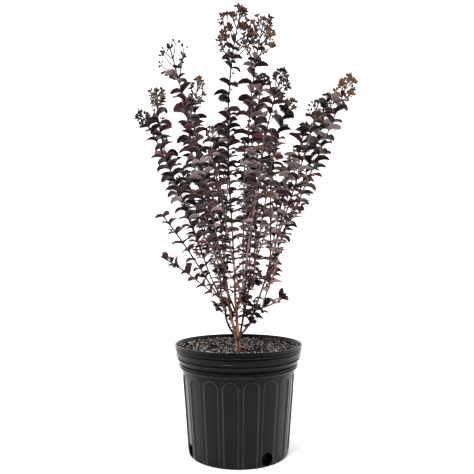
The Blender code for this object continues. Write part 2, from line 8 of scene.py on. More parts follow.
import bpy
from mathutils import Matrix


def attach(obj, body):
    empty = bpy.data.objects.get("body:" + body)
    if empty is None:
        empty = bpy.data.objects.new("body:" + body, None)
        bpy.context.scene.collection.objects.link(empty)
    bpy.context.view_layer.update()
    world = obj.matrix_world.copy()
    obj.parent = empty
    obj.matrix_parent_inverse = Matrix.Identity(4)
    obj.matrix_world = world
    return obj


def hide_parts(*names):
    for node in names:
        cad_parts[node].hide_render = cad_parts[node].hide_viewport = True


bl_info = {
    "name": "Potted Crape Myrtle",
    "version": (1, 0, 0),
    "blender": (4, 5, 0),
    "location": "3D View > Sidebar > Crape Myrtle",
    "description": "Nursery pot, potting mix, bark, shoots, leaves and buds of a shrub",
    "category": "Object",
}

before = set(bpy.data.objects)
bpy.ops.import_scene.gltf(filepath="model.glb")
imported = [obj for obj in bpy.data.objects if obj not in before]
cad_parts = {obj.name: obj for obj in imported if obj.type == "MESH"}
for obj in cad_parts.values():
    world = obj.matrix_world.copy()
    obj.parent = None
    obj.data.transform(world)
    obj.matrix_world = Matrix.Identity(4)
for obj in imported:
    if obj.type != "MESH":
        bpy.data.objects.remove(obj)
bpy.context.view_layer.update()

import math

import bpy
import numpy as np
from bpy.props import FloatProperty, FloatVectorProperty, IntProperty, PointerProperty

MM = 0.001
UP = np.array((0, 0, 1.0))

# Pot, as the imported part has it
COLLAR_FOOT = 185.5 * MM
WALL_TOP_RADIUS = 123.4 * MM
WALL_FOOT_RADIUS = 109.3 * MM
WALL = 4 * MM
FLOOR = 4 * MM
FLUTE_PHASE = 12.36
FLUTE_TOP = 177.5 * MM
FLUTE_HALF_ANGLE = math.radians(7.7)
HOLE_FLUTES = (1, 5, 10, 14)
HOLE_RADIUS = 13.5 * MM
HOLE_HEIGHT = 15 * MM
SOIL_TOP = 229 * MM

# The wall's foot is rounded by this many mm. A panel takes this many columns of points. Its floor
# is dished a little, its edge slopes over a strip, its bead stands just outside its outline
# (distance, width), and all of it fades out at the wall's foot (start, height).
FOOT_ROUND = 3.0
PANEL_COLUMNS = 48
PANEL_DISH = 0.3 * MM
PANEL_EDGE = 2.4 * MM
PANEL_BEAD = (0.3 * MM, 1.2 * MM)
PANEL_FADE = (1 * MM, 7 * MM)

# The strip painted lighter as a highlight, from outside to inside a panel's outline, and its lower
# end
HIGHLIGHT_STRIP = (-1 * MM, 1.7 * MM)
HIGHLIGHT_FROM = 6 * MM

# Collar, in mm: the steps of its outer line as (height, radius), its rim and inside as (radius,
# height), and the heights of its small beads
COLLAR_LINE = ((237.2, 139.2), (236.2, 139.7), (233.6, 139.7), (232.8, 137.4), (230.0, 137.2),
               (229.2, 139.0), (226.4, 138.8), (225.6, 135.0), (223.4, 134.8), (222.6, 136.6),
               (214.8, 136.0), (214.2, 136.9), (212.2, 136.7), (211.4, 131.8), (208.6, 131.6),
               (207.8, 134.3), (205.4, 134.1), (204.4, 128.4), (201.0, 127.4), (197.0, 127.2),
               (195.4, 130.6), (192.8, 130.8), (192.0, 127.6), (190.4, 127.4), (189.6, 129.2),
               (187.2, 128.8), (186.0, 124.6), (184.0, 123.2))
COLLAR_INSIDE = ((139.2, 237.5), (138.4, 238), (137.2, 238), (136.5, 237.2), (135.0, 226),
                 (132.4, 214), (127.0, 204.5), (125.4, 190), (119.8, 184))
COLLAR_BEADS = (220.4, 217.4)
BEAD_HEIGHT = 0.5 * MM
BEAD_WIDTH = 0.7 * MM

# Potting mix: the plug's outer line as (radius, height) in mm, its top's rim and level in mm and
# ring count, its lumps as (height in mm, width), where the last is a mound round the trunk, and
# how far out the chips lie
PLUG_LINE = ((0, 4.3), (60, 4.3), (92, 4.3), (92, 34), (107, 40), (118.9, 183.1), (124.2, 190),
             (126.4, 204.5), (134.3, 226))
BED_TOP = (135.3, 229.2, 62)
LUMPS = ((1.5, 11 * MM), (0.9, 4.5 * MM), (1.6, 18 * MM))
CHIPS_WITHIN = 133.5 * MM

# Wood: the place of the trunk's foot, its gap to the mix, and the height of its upright start
TRUNK_FOOT = np.array((0.0, -0.055, SOIL_TOP))
SOIL_GAP = 0.3 * MM
TRUNK_KNEE = 9 * MM

# Forks of limbs: how far the children start past the parent's tip, how deep their roots sit in
# it, how far they spread, the room between two, the thickness of a mass's stem there, and the
# rounds in which they are pushed apart
STUB_LENGTH = 11 * MM
STUB_SINK = 3 * MM
STUB_SPREAD = 3.4 * MM
STUB_ROOM = 1 * MM
MASS_FOOT = 1.5 * MM
FORK_ROUNDS = 60

# Forks of shoots: the height at which they leave the mass's stem, and half the fork's length
FORK_HEIGHT = 24 * MM
FORK_HALF = 6 * MM

# Lines: knots and points of limbs and shoots, and the power that moves a shoot's bow up it
LIMB_KNOTS = 4
LIMB_POINTS = 64
SHOOT_KNOTS = 7
SHOOT_POINTS = 80
LATE_BOW = 1.4

# Shoots: rings, half widths at a stem's foot, at another shoot's foot and at the tip, where the
# first leaf pair sits on a stem and on another shoot, and how many stretches stand for a shoot
# when the room of its mass is measured
WOOD_POINTS = 60
STEM_FOOT = 2.1 * MM
SHOOT_FOOT = 1.6 * MM
SHOOT_TIP = 1.5 * MM
FIRST_PAIRS = (16 * MM, 34 * MM)
STRETCHES = 12

# Twigs: points, half widths at foot and tip, rise over reach, spread of their first pair's turn,
# and the reach past which their leaves stand no further apart
TWIG_POINTS = 12
TWIG_FOOT = 1.1 * MM
TWIG_TIP = 0.85 * MM
TWIG_RISE = 0.35
TWIG_TURN = 0.5
LONG_TWIG = 90 * MM

# Seen from the front, the centre stem stays bare of leaves up to this height
BARE_TOP = 510 * MM
BARE_HALF_WIDTH = 7 * MM

# A shoot whose heading climbs less than STANDS_FROM lies more and more flat. Its leaves then lose
# a share of their spread up and down, and lean on towards its tip (standing, and more when flat).
# No leaf aims lower than LOWEST_AIM.
STANDS_FROM = 0.75
LIES_OVER = 0.4
FLAT_SPRAY = 0.7
LEAN_ON = (0.10, 0.6)
LOWEST_AIM = -0.1

# Leaves low in the crown lean open, and higher up they stand more and more erect. There their
# backs turn away from an upright line behind the crown, at this Y.
ERECT_FROM = 300 * MM
ERECT_OVER = 260 * MM
ROLL_AXIS = 0.45

# Leaves: spreads in radians, ranges of breadth and fold, the largest value of the outline's curve,
# the tint's place in a leaf's row, sizes that are tried where room is short, and the room that
# leaves, twigs and the potting mix need
RISE_SPREAD = 0.14
DROP_SPREAD = 0.24
ROLL_SPREAD = 0.3
TWIST_SPREAD = 0.25
BREADTHS = (0.88, 1.1)
FOLDS = (0.75, 1.2)
OUTLINE_PEAK = 0.4125
TINT_COLUMN = 12
SMALLER_TRIES = (1.0, 0.82, 0.66)
LEAF_ROOM = 7 * MM
TWIG_ROOM = 6 * MM
SOIL_ROOM = 12 * MM

# Pairs: the turn from one pair to the next, the spread of angle and size in a pair, how many
# leaves are missing, how many have a tint of their own, and how often the spray's tint changes
PAIR_CROSSING = math.radians(72)
PAIR_SPREAD = 0.16
PAIR_SIZES = (0.88, 1.1)
MISSING_LEAVES = 0.09
OWN_TINTS = 0.4
NEW_TINTS = 0.35

# The last pairs of a leafy tip: mm below the tip, and leaf size
END_PAIRS = ((9, 0.5), (2, 0.34))

# Leaf size and leaf spacing of a leafy shoot and of one with a flower head
SHOOT_HABITS = ((0.76, 1.15), (1.0, 1.0))

# Side growth: chance, range of the shoot's length, steepness, reach in mm, how the reach falls
# along the shoot, leaf sizes from foot to tip, half width in mm, and whether it has its own tint.
# It leaves the shoot at the pairs' angles with a spread in radians.
SIDE_SPREAD = 0.2
SIDE_GROWTH = (
    (0.04, 0.10, 0.50, (1.2, 1.7), (70, 130), (1.1, 0.5), (0.68, 0.5), 1.35, True),
    (0.09, 0.00, 0.62, (0.7, 1.1), (28, 56), (1.0, 0.0), (0.6, 0.42), 1.1, False),
    (0.38, 0.60, 1.00, (0.8, 1.3), (8, 18), (1.0, 0.0), (0.34, 0.26), 0.7, False),
    (0.17, 0.25, 0.60, (0.8, 1.3), (8, 18), (1.0, 0.0), (0.34, 0.26), 0.7, False),
)

# An open and a full flower head: spacing of side stalks and length of bud stalks against the
# settings, steepness of the side stalks, and buds in the knots at their ends and sides
OPEN_HEAD = 0.4
HEAD_HABITS = ((1.5, 1.9, (0.8, 1.5), 3, 2), (1.0, 1.0, (1.1, 1.6), 5, 3))

# Flower heads: half widths of side stalks, branchlets and bud stalks, their points, the spread of
# a side stalk's angle, the share of it that bears no buds, the spacing of its knots, the range of
# bud sizes, the turn between two buds, the part of the head with small leaves, and their sizes
BRANCH_WIDTHS = (1.4 * MM, 1.0 * MM)
BRANCHLET = 0.85 * MM
BUD_STALK = 0.75 * MM
STALK_POINTS = 5
BRANCH_SPREAD = 0.25
BUDDED_FROM = 0.42
BUD_NODES = 8 * MM
BUD_SIZES = (0.75, 1.2)
GOLDEN_ANGLE = 2.4
BRACTS_BELOW = 0.5
BRACT_SIZES = (0.4, 0.7)

# Limbs: name, the limb that it forks from, where it ends, the sideways bow of its middle, its
# half thickness in mm at the foot and the tip, and its kind of bark
LIMBS = (
    ("trunk", None, (-0.001, -0.0545, 0.250), 0.000, 5.0, 4.8, "tan"),
    ("stem_centre", "trunk", (-0.004, -0.058, 0.300), 0.000, 3.2, 3.0, "tan"),
    ("stem_left", "trunk", (-0.028, -0.042, 0.312), -0.005, 2.3, 2.2, "young"),
    ("stem_mid", "trunk", (0.013, -0.033, 0.314), 0.000, 2.4, 2.3, "young"),
    ("stem_right", "trunk", (0.029, -0.058, 0.303), 0.004, 2.3, 2.2, "grey"),
    ("stem_back", "trunk", (-0.006, -0.012, 0.306), 0.000, 2.5, 2.3, "young"),
    ("bough_left_tall", "trunk", (-0.021, -0.064, 0.348), -0.002, 3.1, 2.3, "tan"),
    ("bough_centre", "stem_centre", (-0.008, -0.046, 0.368), -0.001, 2.7, 2.3, "tan"),
    ("bough_front", "stem_centre", (0.004, -0.088, 0.340), 0.000, 2.2, 2.0, "tan"),
    ("bough_left_outer", "stem_left", (-0.056, -0.034, 0.376), 0.002, 2.1, 1.8, "young"),
    ("bough_left_inner", "stem_left", (-0.039, -0.016, 0.374), -0.003, 2.1, 1.8, "young"),
    ("bough_centre_right", "stem_mid", (0.016, -0.020, 0.374), -0.001, 2.2, 1.9, "young"),
    ("bough_right_inner", "stem_mid", (0.028, -0.046, 0.374), -0.002, 2.1, 1.8, "young"),
    ("bough_right", "stem_right", (0.064, -0.054, 0.405), 0.002, 2.3, 2.0, "tan"),
    ("bough_back_left", "stem_back", (-0.028, 0.026, 0.356), 0.000, 2.2, 1.9, "young"),
    ("bough_back_right", "stem_back", (0.020, 0.030, 0.360), 0.000, 2.2, 1.9, "young"),
)

# Masses: name, the limb that carries it, and its shoots. A shoot is the place of its tip, the
# sideways bow of its middle, and its flower head: height and half width in mm, how full of
# branchlets it is, and the tint of its buds. A leafy tip has none.
MASSES = (
    ("mass_centre", "bough_centre", (
        (0.008, -0.020, 0.975, -0.024, (122, 42, 0.58, "rust")),
        (-0.040, -0.075, 0.690, -0.010, None))),
    ("mass_centre_right", "bough_centre_right", (
        (0.060, 0.030, 0.975, -0.018, (104, 40, 0.48, "fawn")),
        (0.066, 0.095, 0.870, -0.016, (30, 10, 0.5, "dark")))),
    ("mass_left_tall", "bough_left_tall", (
        (-0.147, -0.050, 0.876, 0.004, (68, 35, 0.25, "dark")),
        (-0.090, -0.112, 0.690, 0.000, None))),
    ("mass_left_outer", "bough_left_outer", (
        (-0.210, -0.060, 0.736, 0.012, (34, 12, 0.5, "dark")),
        (-0.189, 0.050, 0.819, -0.022, (40, 16, 0.6, "pale")))),
    ("mass_left_inner", "bough_left_inner", (
        (-0.091, 0.070, 0.855, -0.026, (64, 14, 0.5, "amber")),
        (-0.128, 0.130, 0.820, -0.012, (22, 8, 0.5, "dark")))),
    ("mass_left_low", "stem_left", (
        (-0.159, -0.070, 0.514, 0.004, None),
        (-0.153, -0.104, 0.425, 0.006, None))),
    ("mass_right_inner", "bough_right_inner", (
        (0.096, -0.070, 0.820, -0.018, (58, 20, 0.5, "dark")),
        (0.072, -0.124, 0.650, 0.000, None))),
    ("mass_right_middle", "bough_right", (
        (0.132, 0.100, 0.812, -0.026, (44, 15, 0.6, "amber")),
        (0.118, 0.030, 0.640, 0.000, None))),
    ("mass_right_outer", "bough_right", (
        (0.245, -0.020, 0.827, 0.004, (60, 17, 0.8, "amber")),
        (0.217, 0.090, 0.821, 0.010, (28, 10, 0.5, "dark")))),
    ("mass_right_side", "bough_right", (
        (0.163, -0.100, 0.745, 0.004, (34, 10, 0.4, "dark")),
        (0.145, -0.035, 0.718, 0.002, (26, 8, 0.5, "dark")))),
    ("mass_right_low", "stem_right", (
        (0.092, -0.100, 0.345, 0.006, None),
        (0.078, -0.150, 0.440, 0.004, None))),
    ("mass_front_left", "bough_front", (
        (-0.048, -0.215, 0.610, 0.000, None),
        (-0.070, -0.150, 0.470, 0.000, None))),
    ("mass_front_right", "bough_front", (
        (0.046, -0.228, 0.640, 0.000, None),
        (0.012, -0.150, 0.640, 0.000, None))),
    ("mass_back_left", "bough_back_left", (
        (-0.068, 0.190, 0.770, 0.000, (34, 16, 0.6, "rust")),
        (-0.146, 0.160, 0.650, 0.000, (26, 12, 0.5, "dark")),
        (-0.020, 0.112, 0.790, 0.000, None))),
    ("mass_back_right", "bough_back_right", (
        (0.058, 0.196, 0.810, 0.000, (34, 16, 0.6, "fawn")),
        (0.146, 0.166, 0.690, 0.000, (26, 12, 0.5, "dark")),
        (0.030, 0.130, 0.640, 0.000, None))),
)
MASS_NAMES = [row[0] for row in MASSES]

# Leafy twigs low on the stems: the limb, how far along it, the mass that it belongs to, its
# bearing in degrees from +X towards +Y, and its reach. Their leaf sizes go from foot to tip.
STEM_TWIG_LEAVES = (0.62, 0.5)
STEM_TWIGS = (
    ("stem_left", 0.88, "mass_left_low", 215, 24 * MM),
    ("stem_left", 0.72, "mass_left_low", 300, 16 * MM),
    ("stem_mid", 0.62, "mass_right_inner", 320, 20 * MM),
    ("stem_mid", 0.80, "mass_right_inner", 200, 14 * MM),
    ("stem_right", 0.85, "mass_right_low", 350, 26 * MM),
    ("stem_right", 0.95, "mass_right_low", 250, 20 * MM),
)

# Small leafy twigs grow at these shares of the length of each limb that carries a mass. Their
# reach is in mm, and their leaf sizes go from foot to tip.
BOUGH_TWIGS = (0.30, 0.42, 0.54, 0.66, 0.78, 0.88, 0.97)
BOUGH_TWIG_RISES = (0.3, 0.9)
BOUGH_TWIG_REACHES = (20, 44)
BOUGH_TWIG_LEAVES = (0.66, 0.5)

# Camera, fitted to the ellipses of the pot's lip and underside in the 474 by 474 picture
PICTURE = 474
FOCAL_PIXELS = 505
LEVEL_ROW = 264
MIDDLE_COLUMN = 238.5
CAMERA_PLACE = (0.0, -1.115, 0.411)
SENSOR = 36

# Light: the sun's width and turn. The surround's strength grows from front to back, counting X
# to both sides and Z by these weights, between two values of that sum.
SUN_WIDTH = math.radians(10)
SUN_TURN = (math.radians(25), math.radians(-15), 0.0)
SIDE_WEIGHT = 0.9
TOP_WEIGHT = 0.6
GLOW_FROM = -0.7
GLOW_TO = 0.8

# Leaf tints: name, colours of the upper face, its margin darkened as painted shade, the under face
# and its rim lightened as a painted highlight, and the share of sprays at the crown's left and
# right. SAGE goes with pale flower heads only.
LEAF_TINTS = (
    ("wine", "#3a1b20", "#0e0507", "#371f22", "#86696a", 0.43, 0.31),
    ("black", "#13090b", "#060303", "#1b1214", "#5d4c4b", 0.33, 0.28),
    ("plum", "#664e50", "#1c0e10", "#978280", "#c8b8b4", 0.15, 0.34),
    ("red", "#541a25", "#240a10", "#522930", "#8d5b60", 0.07, 0.05),
    ("rusty", "#5e3b20", "#2c180a", "#5a4331", "#8f7459", 0.02, 0.02),
    ("sage", "#7f7d60", "#45432e", "#a29e84", "#c6c3ae", 0.0, 0.0),
)
SAGE = 5

# Leaf skins: the waxy face, its margin in painted shade, the dull back and its rim in a painted
# highlight, with roughness and shine
LEAF_PARTS = (("waxy_leaf_", 0.26, 0.45), ("leaf_edge_painted_shade_", 0.42, 0.2),
              ("dull_leaf_back_", 0.45, 0.25), ("leaf_rim_painted_highlight_", 0.45, 0.4))

# From here to the right over this width, a tint's share goes from its left to its right value
TINTS_FROM = -30 * MM
TINTS_OVER = 150 * MM

# Bud tints. On a full flower head a share of the side stalks takes a stray tint.
BUD_TINTS = {
    "dark": "#332322",
    "rust": "#653a28",
    "fawn": "#7f6452",
    "amber": "#78593a",
    "pale": "#746a54",
}
STRAY_BUDS = ("dark", "dark", "fawn", "amber")
STRAY_BRANCHES = 0.32

# Bark chips: name, colour and share
CHIP_TINTS = (("soot", "#080605", 0.43), ("brown", "#4a3f38", 0.18), ("russet", "#4a3128", 0.06),
              ("ash", "#ada69f", 0.33))

# Barks: finish, colours, roughness and width of the strips in mm. Tan bark is smooth, with orange
# brown strips and darker seams. Grey bark is weathered, on a thin side stem. Young bark is in its
# first year, dark red brown with fine grey brown streaks.
BARKS = {
    "tan": ("peeling_tan_bark", ((0.36, "#2b130c"), (0.47, "#6b3c25"), (0.56, "#a8795a"),
                                 (0.68, "#cba586")), 0.72, 3.0),
    "grey": ("weathered_grey_bark", ((0.34, "#382a23"), (0.50, "#7b6657"), (0.66, "#a99a8e")),
             0.7, 1.8),
    "young": ("smooth_young_bark", ((0.32, "#140c0c"), (0.52, "#2e1a17"), (0.70, "#57382c")),
              0.62, 1.6),
}
STRIP_DRAW = 0.09


# Colour and node helpers

def linear(code):
    """An sRGB hex colour as linear red, green, blue and a full alpha."""
    parts = [int(code[i:i + 2], 16) / 255 for i in (1, 3, 5)]
    return (*[c / 12.92 if c <= 0.04045 else ((c + 0.055) / 1.055) ** 2.4 for c in parts], 1.0)


def per_mm(size):
    """The scale of a pattern on Object coordinates whose features are size millimetres wide."""
    return 1.0 / (size * MM)


def add_node(tree, kind, values=None, links=None, **settings):
    """Add one node with its settings, its sockets' values and its links from other sockets."""
    node = tree.nodes.new(kind)
    for key, value in settings.items():
        setattr(node, key, value)
    for socket, value in (values or {}).items():
        node.inputs[socket].default_value = value
    for socket, source in (links or {}).items():
        tree.links.new(source, node.inputs[socket])
    return node


def set_stops(ramp, stops):
    """Give a colour ramp its stops: (place, hex colour)."""
    elements = ramp.color_ramp.elements
    while len(elements) < len(stops):
        elements.new(0.5)
    for element, (place, code) in zip(elements, stops):
        element.position = place
        element.color = linear(code)


def new_finish(name, **values):
    """A material with one Principled BSDF. Returns it with its tree, shader and coordinates."""
    finish = bpy.data.materials.new(name)
    finish.use_nodes = True
    tree = finish.node_tree
    shader = tree.nodes["Principled BSDF"]
    for socket, value in values.items():
        shader.inputs[socket.replace("_", " ")].default_value = value
    place = add_node(tree, "ShaderNodeTexCoord").outputs["Object"]
    return finish, tree, shader, place


# Surfaces, all computed as whole arrays

def lathe(profile, columns, push=None):
    """Turned surface: (radius cos a, radius sin a, height) for each profile point and angle a.

    push(angle, radius, height) gives what is added to the radius.
    """
    radius, height = np.array(profile, float).T
    angle = np.linspace(0, 2 * math.pi, columns, endpoint=False)
    grid_a, grid_r = np.meshgrid(angle, radius)
    grid_z = np.repeat(height[:, None], columns, axis=1)
    if push:
        grid_r = grid_r + push(grid_a, grid_r, grid_z)
    return np.stack((grid_r * np.cos(grid_a), grid_r * np.sin(grid_a), grid_z), axis=2)


def grid_quads(rows, columns, closed=False):
    """Quads between neighbouring rows of a grid that is closed round its columns."""
    row = np.arange(rows if closed else rows - 1)
    low_row, col = np.meshgrid(row, np.arange(columns), indexing="ij")
    high_row = (low_row + 1) % rows
    after = (col + 1) % columns
    quads = np.stack((low_row * columns + col, low_row * columns + after,
                      high_row * columns + after, high_row * columns + col), axis=-1)
    return quads.reshape(-1, 4)


def close_poles(grid):
    """Points and faces of a turned grid whose first and last rows shrink to one point each."""
    rows, columns, _ = grid.shape
    inner = grid[1:-1].reshape(-1, 3)
    points = np.vstack((inner, grid[0].mean(axis=0), grid[-1].mean(axis=0)))
    col = np.arange(columns)
    after = (col + 1) % columns
    first, last = len(inner), len(inner) + 1
    top = (rows - 3) * columns
    fans = np.vstack((np.stack((np.full(columns, first), after, col), axis=1),
                      np.stack((np.full(columns, last), top + col, top + after), axis=1)))
    return points, [grid_quads(rows - 2, columns), fans]


def across_axes(tangents):
    """Two directions square to each path's tangents, turned from a fixed direction off its run."""
    mean = tangents.mean(axis=1)
    upright = np.abs(mean[:, 2]) > 0.7 * np.linalg.norm(mean, axis=1)
    fixed = np.where(upright[:, None], (1.0, 0.0, 0.0), (0.0, 0.0, 1.0))[:, None, :]
    second = np.cross(tangents, fixed)
    second /= np.linalg.norm(second, axis=2, keepdims=True)
    first = np.cross(second, tangents)
    return first, second


def tubes(paths, radii, sides):
    """Rings round paths: centre + radius (cos a first + sin a second), a from 0 to a full turn.

    paths is (count, rings, 3); radii is (count, rings) or (count, rings, sides).
    """
    tangents = np.gradient(paths, axis=1)
    tangents /= np.maximum(np.linalg.norm(tangents, axis=2, keepdims=True), 1e-9)
    first, second = across_axes(tangents)
    turn = np.linspace(0, 2 * math.pi, sides, endpoint=False)
    if radii.ndim == 2:
        radii = radii[:, :, None]
    out = (first[:, :, None, :] * np.cos(turn)[None, None, :, None]
           + second[:, :, None, :] * np.sin(turn)[None, None, :, None])
    return paths[:, :, None, :] + radii[..., None] * out


def tube_faces(count, rings, sides):
    """Side quads and end caps of many capped tubes that lie one after the other."""
    quads = grid_quads(rings, sides)
    start = np.arange(sides)[::-1][None, :]
    end = (rings - 1) * sides + np.arange(sides)[None, :]
    shift = np.arange(count)[:, None, None] * rings * sides
    return [(quads[None] + shift).reshape(-1, 4),
            (np.vstack((start, end))[None] + shift).reshape(-1, sides)]


def new_piece(name, points, faces, finishes, picks=None, sharp=50.0):
    """One object from arrays: points, groups of faces, finishes and each face's pick of them."""
    corners = np.concatenate([group.ravel() for group in faces])
    sizes = np.concatenate([np.full(len(group), group.shape[1]) for group in faces])
    mesh = bpy.data.meshes.new(name)
    mesh.vertices.add(len(points))
    mesh.vertices.foreach_set("co", np.ascontiguousarray(points, np.float32).ravel())
    mesh.loops.add(len(corners))
    mesh.loops.foreach_set("vertex_index", corners.astype(np.int32))
    mesh.polygons.add(len(sizes))
    mesh.polygons.foreach_set("loop_start", (np.cumsum(sizes) - sizes).astype(np.int32))
    for finish in finishes:
        mesh.materials.append(finish)
    if picks is not None:
        mesh.polygons.foreach_set("material_index", picks.astype(np.int32))
    mesh.update(calc_edges=True)
    mesh.shade_smooth()
    mesh.set_sharp_from_angle(angle=math.radians(sharp))
    piece = bpy.data.objects.new(name, mesh)
    bpy.context.scene.collection.objects.link(piece)
    return piece


def tube_piece(name, grid, finish, sharp=50.0):
    """One object of capped tubes from their rings: an array of (count, rings, sides, 3)."""
    return new_piece(name, grid.reshape(-1, 3), tube_faces(*grid.shape[:3]), [finish], sharp=sharp)


def settle(piece, slot, *nodes):
    """The piece rides on the shrub's one body and stands for CAD nodes. Its slot is not used."""
    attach(piece, "root")
    if nodes:
        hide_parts(*nodes)
    return piece


def soft_step(share):
    """0 below 0, 1 above 1, and a smooth cubic between."""
    share = np.clip(share, 0, 1)
    return share * share * (3 - 2 * share)


def cell_noise(x, y, size, seed):
    """Random heights from -1 to 1 on a square lattice, blended smoothly between its corners."""
    table = np.random.default_rng(seed).uniform(-1, 1, (64, 64))
    x, y = x / size, y / size
    col, row = np.floor(x).astype(int), np.floor(y).astype(int)
    s, t = soft_step(x - col), soft_step(y - row)
    low = table[row % 64, col % 64] * (1 - s) + table[row % 64, (col + 1) % 64] * s
    high = table[(row + 1) % 64, col % 64] * (1 - s) + table[(row + 1) % 64, (col + 1) % 64] * s
    return low * (1 - t) + high * t


# The growth rule

class Line:
    """A curve through knots: each span is a cubic whose end slopes are those of its neighbours."""

    def __init__(self, knots, count):
        knots = np.asarray(knots, float)
        reach = np.concatenate(([0], np.cumsum(np.linalg.norm(np.diff(knots, axis=0), axis=1))))
        slopes = np.gradient(knots, reach, axis=0)
        at = np.linspace(0, reach[-1], count)
        span = np.clip(np.searchsorted(reach, at, side="right") - 1, 0, len(knots) - 2)
        width = (reach[span + 1] - reach[span])[:, None]
        t = (at - reach[span])[:, None] / width
        self.points = ((2 * t ** 3 - 3 * t ** 2 + 1) * knots[span]
                       + (t ** 3 - 2 * t ** 2 + t) * width * slopes[span]
                       + (3 * t ** 2 - 2 * t ** 3) * knots[span + 1]
                       + (t ** 3 - t ** 2) * width * slopes[span + 1])
        steps = np.linalg.norm(np.diff(self.points, axis=0), axis=1)
        self.reach = np.concatenate(([0], np.cumsum(steps)))
        self.length = self.reach[-1]

    def place(self, distance):
        """The point at a distance along the line."""
        return np.array([np.interp(distance, self.reach, self.points[:, i]) for i in range(3)])

    def heading(self, distance):
        """The direction of the line at a distance along it."""
        step = self.place(distance + 1 * MM) - self.place(distance - 1 * MM)
        return step / np.linalg.norm(step)

    def cut(self, end, count):
        """The stretch from the line's start to a distance, at evenly spaced points."""
        at = np.linspace(0, end, count)
        return np.stack([np.interp(at, self.reach, self.points[:, i]) for i in range(3)], axis=1)


def unit(vector):
    """The vector's direction, with length 1."""
    return vector / np.linalg.norm(vector)


def bowed_knots(start, end, bow, count, late=1.0):
    """Points from start to end that are pushed sideways by the bow, most at t^late = 1/2."""
    t = np.linspace(0, 1, count)
    knots = start + (end - start) * t[:, None]
    knots[:, 0] += bow * 4 * t ** late * (1 - t ** late)
    return knots


def limb_children(name):
    """What grows from a limb: boughs by their ends, masses by the mean of their tips."""
    children = {limb: (np.array(end), foot * MM)
                for limb, parent, end, _, foot, *_ in LIMBS if parent == name}
    for mass, parent, shoots in MASSES:
        if parent == name:
            children[mass] = (np.mean([shoot[:3] for shoot in shoots], axis=0), MASS_FOOT)
    return children


def fork_tops(tip, heading, children):
    """Where each child of a fork sets off, pushed apart by their thickness."""
    aims = []
    for target, _ in children:
        aim = target - tip
        aims.append(unit(aim - heading * aim.dot(heading)) * STUB_SPREAD)
    for _ in range(FORK_ROUNDS):
        for i in range(len(aims)):
            for j in range(i):
                room = children[i][1] + children[j][1] + STUB_ROOM
                apart = aims[i] - aims[j]
                gap = room - np.linalg.norm(apart)
                if gap > 0:
                    aims[i] = aims[i] + unit(apart) * gap / 2
                    aims[j] = aims[j] - unit(apart) * gap / 2
    return [tip + heading * STUB_LENGTH + aim for aim in aims]


def limb_lines():
    """Each limb's knots, and the fork that each child leaves: (root in the parent, start)."""
    lines = {}
    forks = {}
    for name, parent, end, bow, *_ in LIMBS:
        end = np.array(end)
        root, start = forks.get(name, (None, TRUNK_FOOT + (0, 0, SOIL_GAP)))
        knots = list(bowed_knots(start, end, bow, LIMB_KNOTS))
        if parent is None:
            knots.insert(1, start + (0, 0, TRUNK_KNEE))
        else:
            knots.insert(0, root)
        knots = np.array(knots)
        heading = unit(knots[-1] - knots[-2])
        children = limb_children(name)
        tops = [end] if len(children) == 1 else fork_tops(end, heading, list(children.values()))
        for child, top in zip(children, tops):
            forks[child] = (end - heading * STUB_SINK, top)
        lines[name] = knots
    return lines, forks


def shoot_lines(fork, shoots):
    """The lines of a mass's shoots. The first is the stem, and the others fork from it."""
    root, start = fork
    lines = []
    for x, y, z, bow, _ in shoots:
        if lines:
            root = lines[0].place(FORK_HEIGHT - FORK_HALF)
            start = lines[0].place(FORK_HEIGHT + FORK_HALF)
        knots = bowed_knots(start, np.array((x, y, z)), bow, SHOOT_KNOTS, LATE_BOW)
        lines.append(Line(np.vstack((root, knots)), SHOOT_POINTS))
    return lines


def flatness(heading):
    """0 for a shoot that stands, 1 for one that lies."""
    return soft_step((STANDS_FROM - abs(heading[2])) / LIES_OVER)


def crown_axes(heading):
    """Two directions across a shoot: the first near +X, or level on a shoot that lies flat."""
    flat = flatness(heading)
    near = np.array((1.0, 0, 0)) * (1 - flat) + np.cross(heading, UP) * flat
    side = unit(near - heading * heading.dot(near))
    return side, np.cross(heading, side)


def outward(heading, angle):
    """The direction that leaves a shoot at an angle round it."""
    side, front = crown_axes(heading)
    return side * math.cos(angle) + front * math.sin(angle)


def crossed(index):
    """The turn of one pair of a chain, to one side and the other by turns."""
    return (index % 2 - 0.5) * PAIR_CROSSING


def leaf_scale(share):
    """Leaf size along a shoot: small at its foot, full in its middle and small at its tip."""
    return 0.66 + 0.34 * soft_step(share / 0.6) - 0.15 * soft_step((share - 0.85) / 0.15)


def bearing_aim(bearing, rise):
    """A direction at a bearing in radians, which climbs by rise over each unit of run."""
    return unit(np.array((math.cos(bearing), math.sin(bearing), rise)))


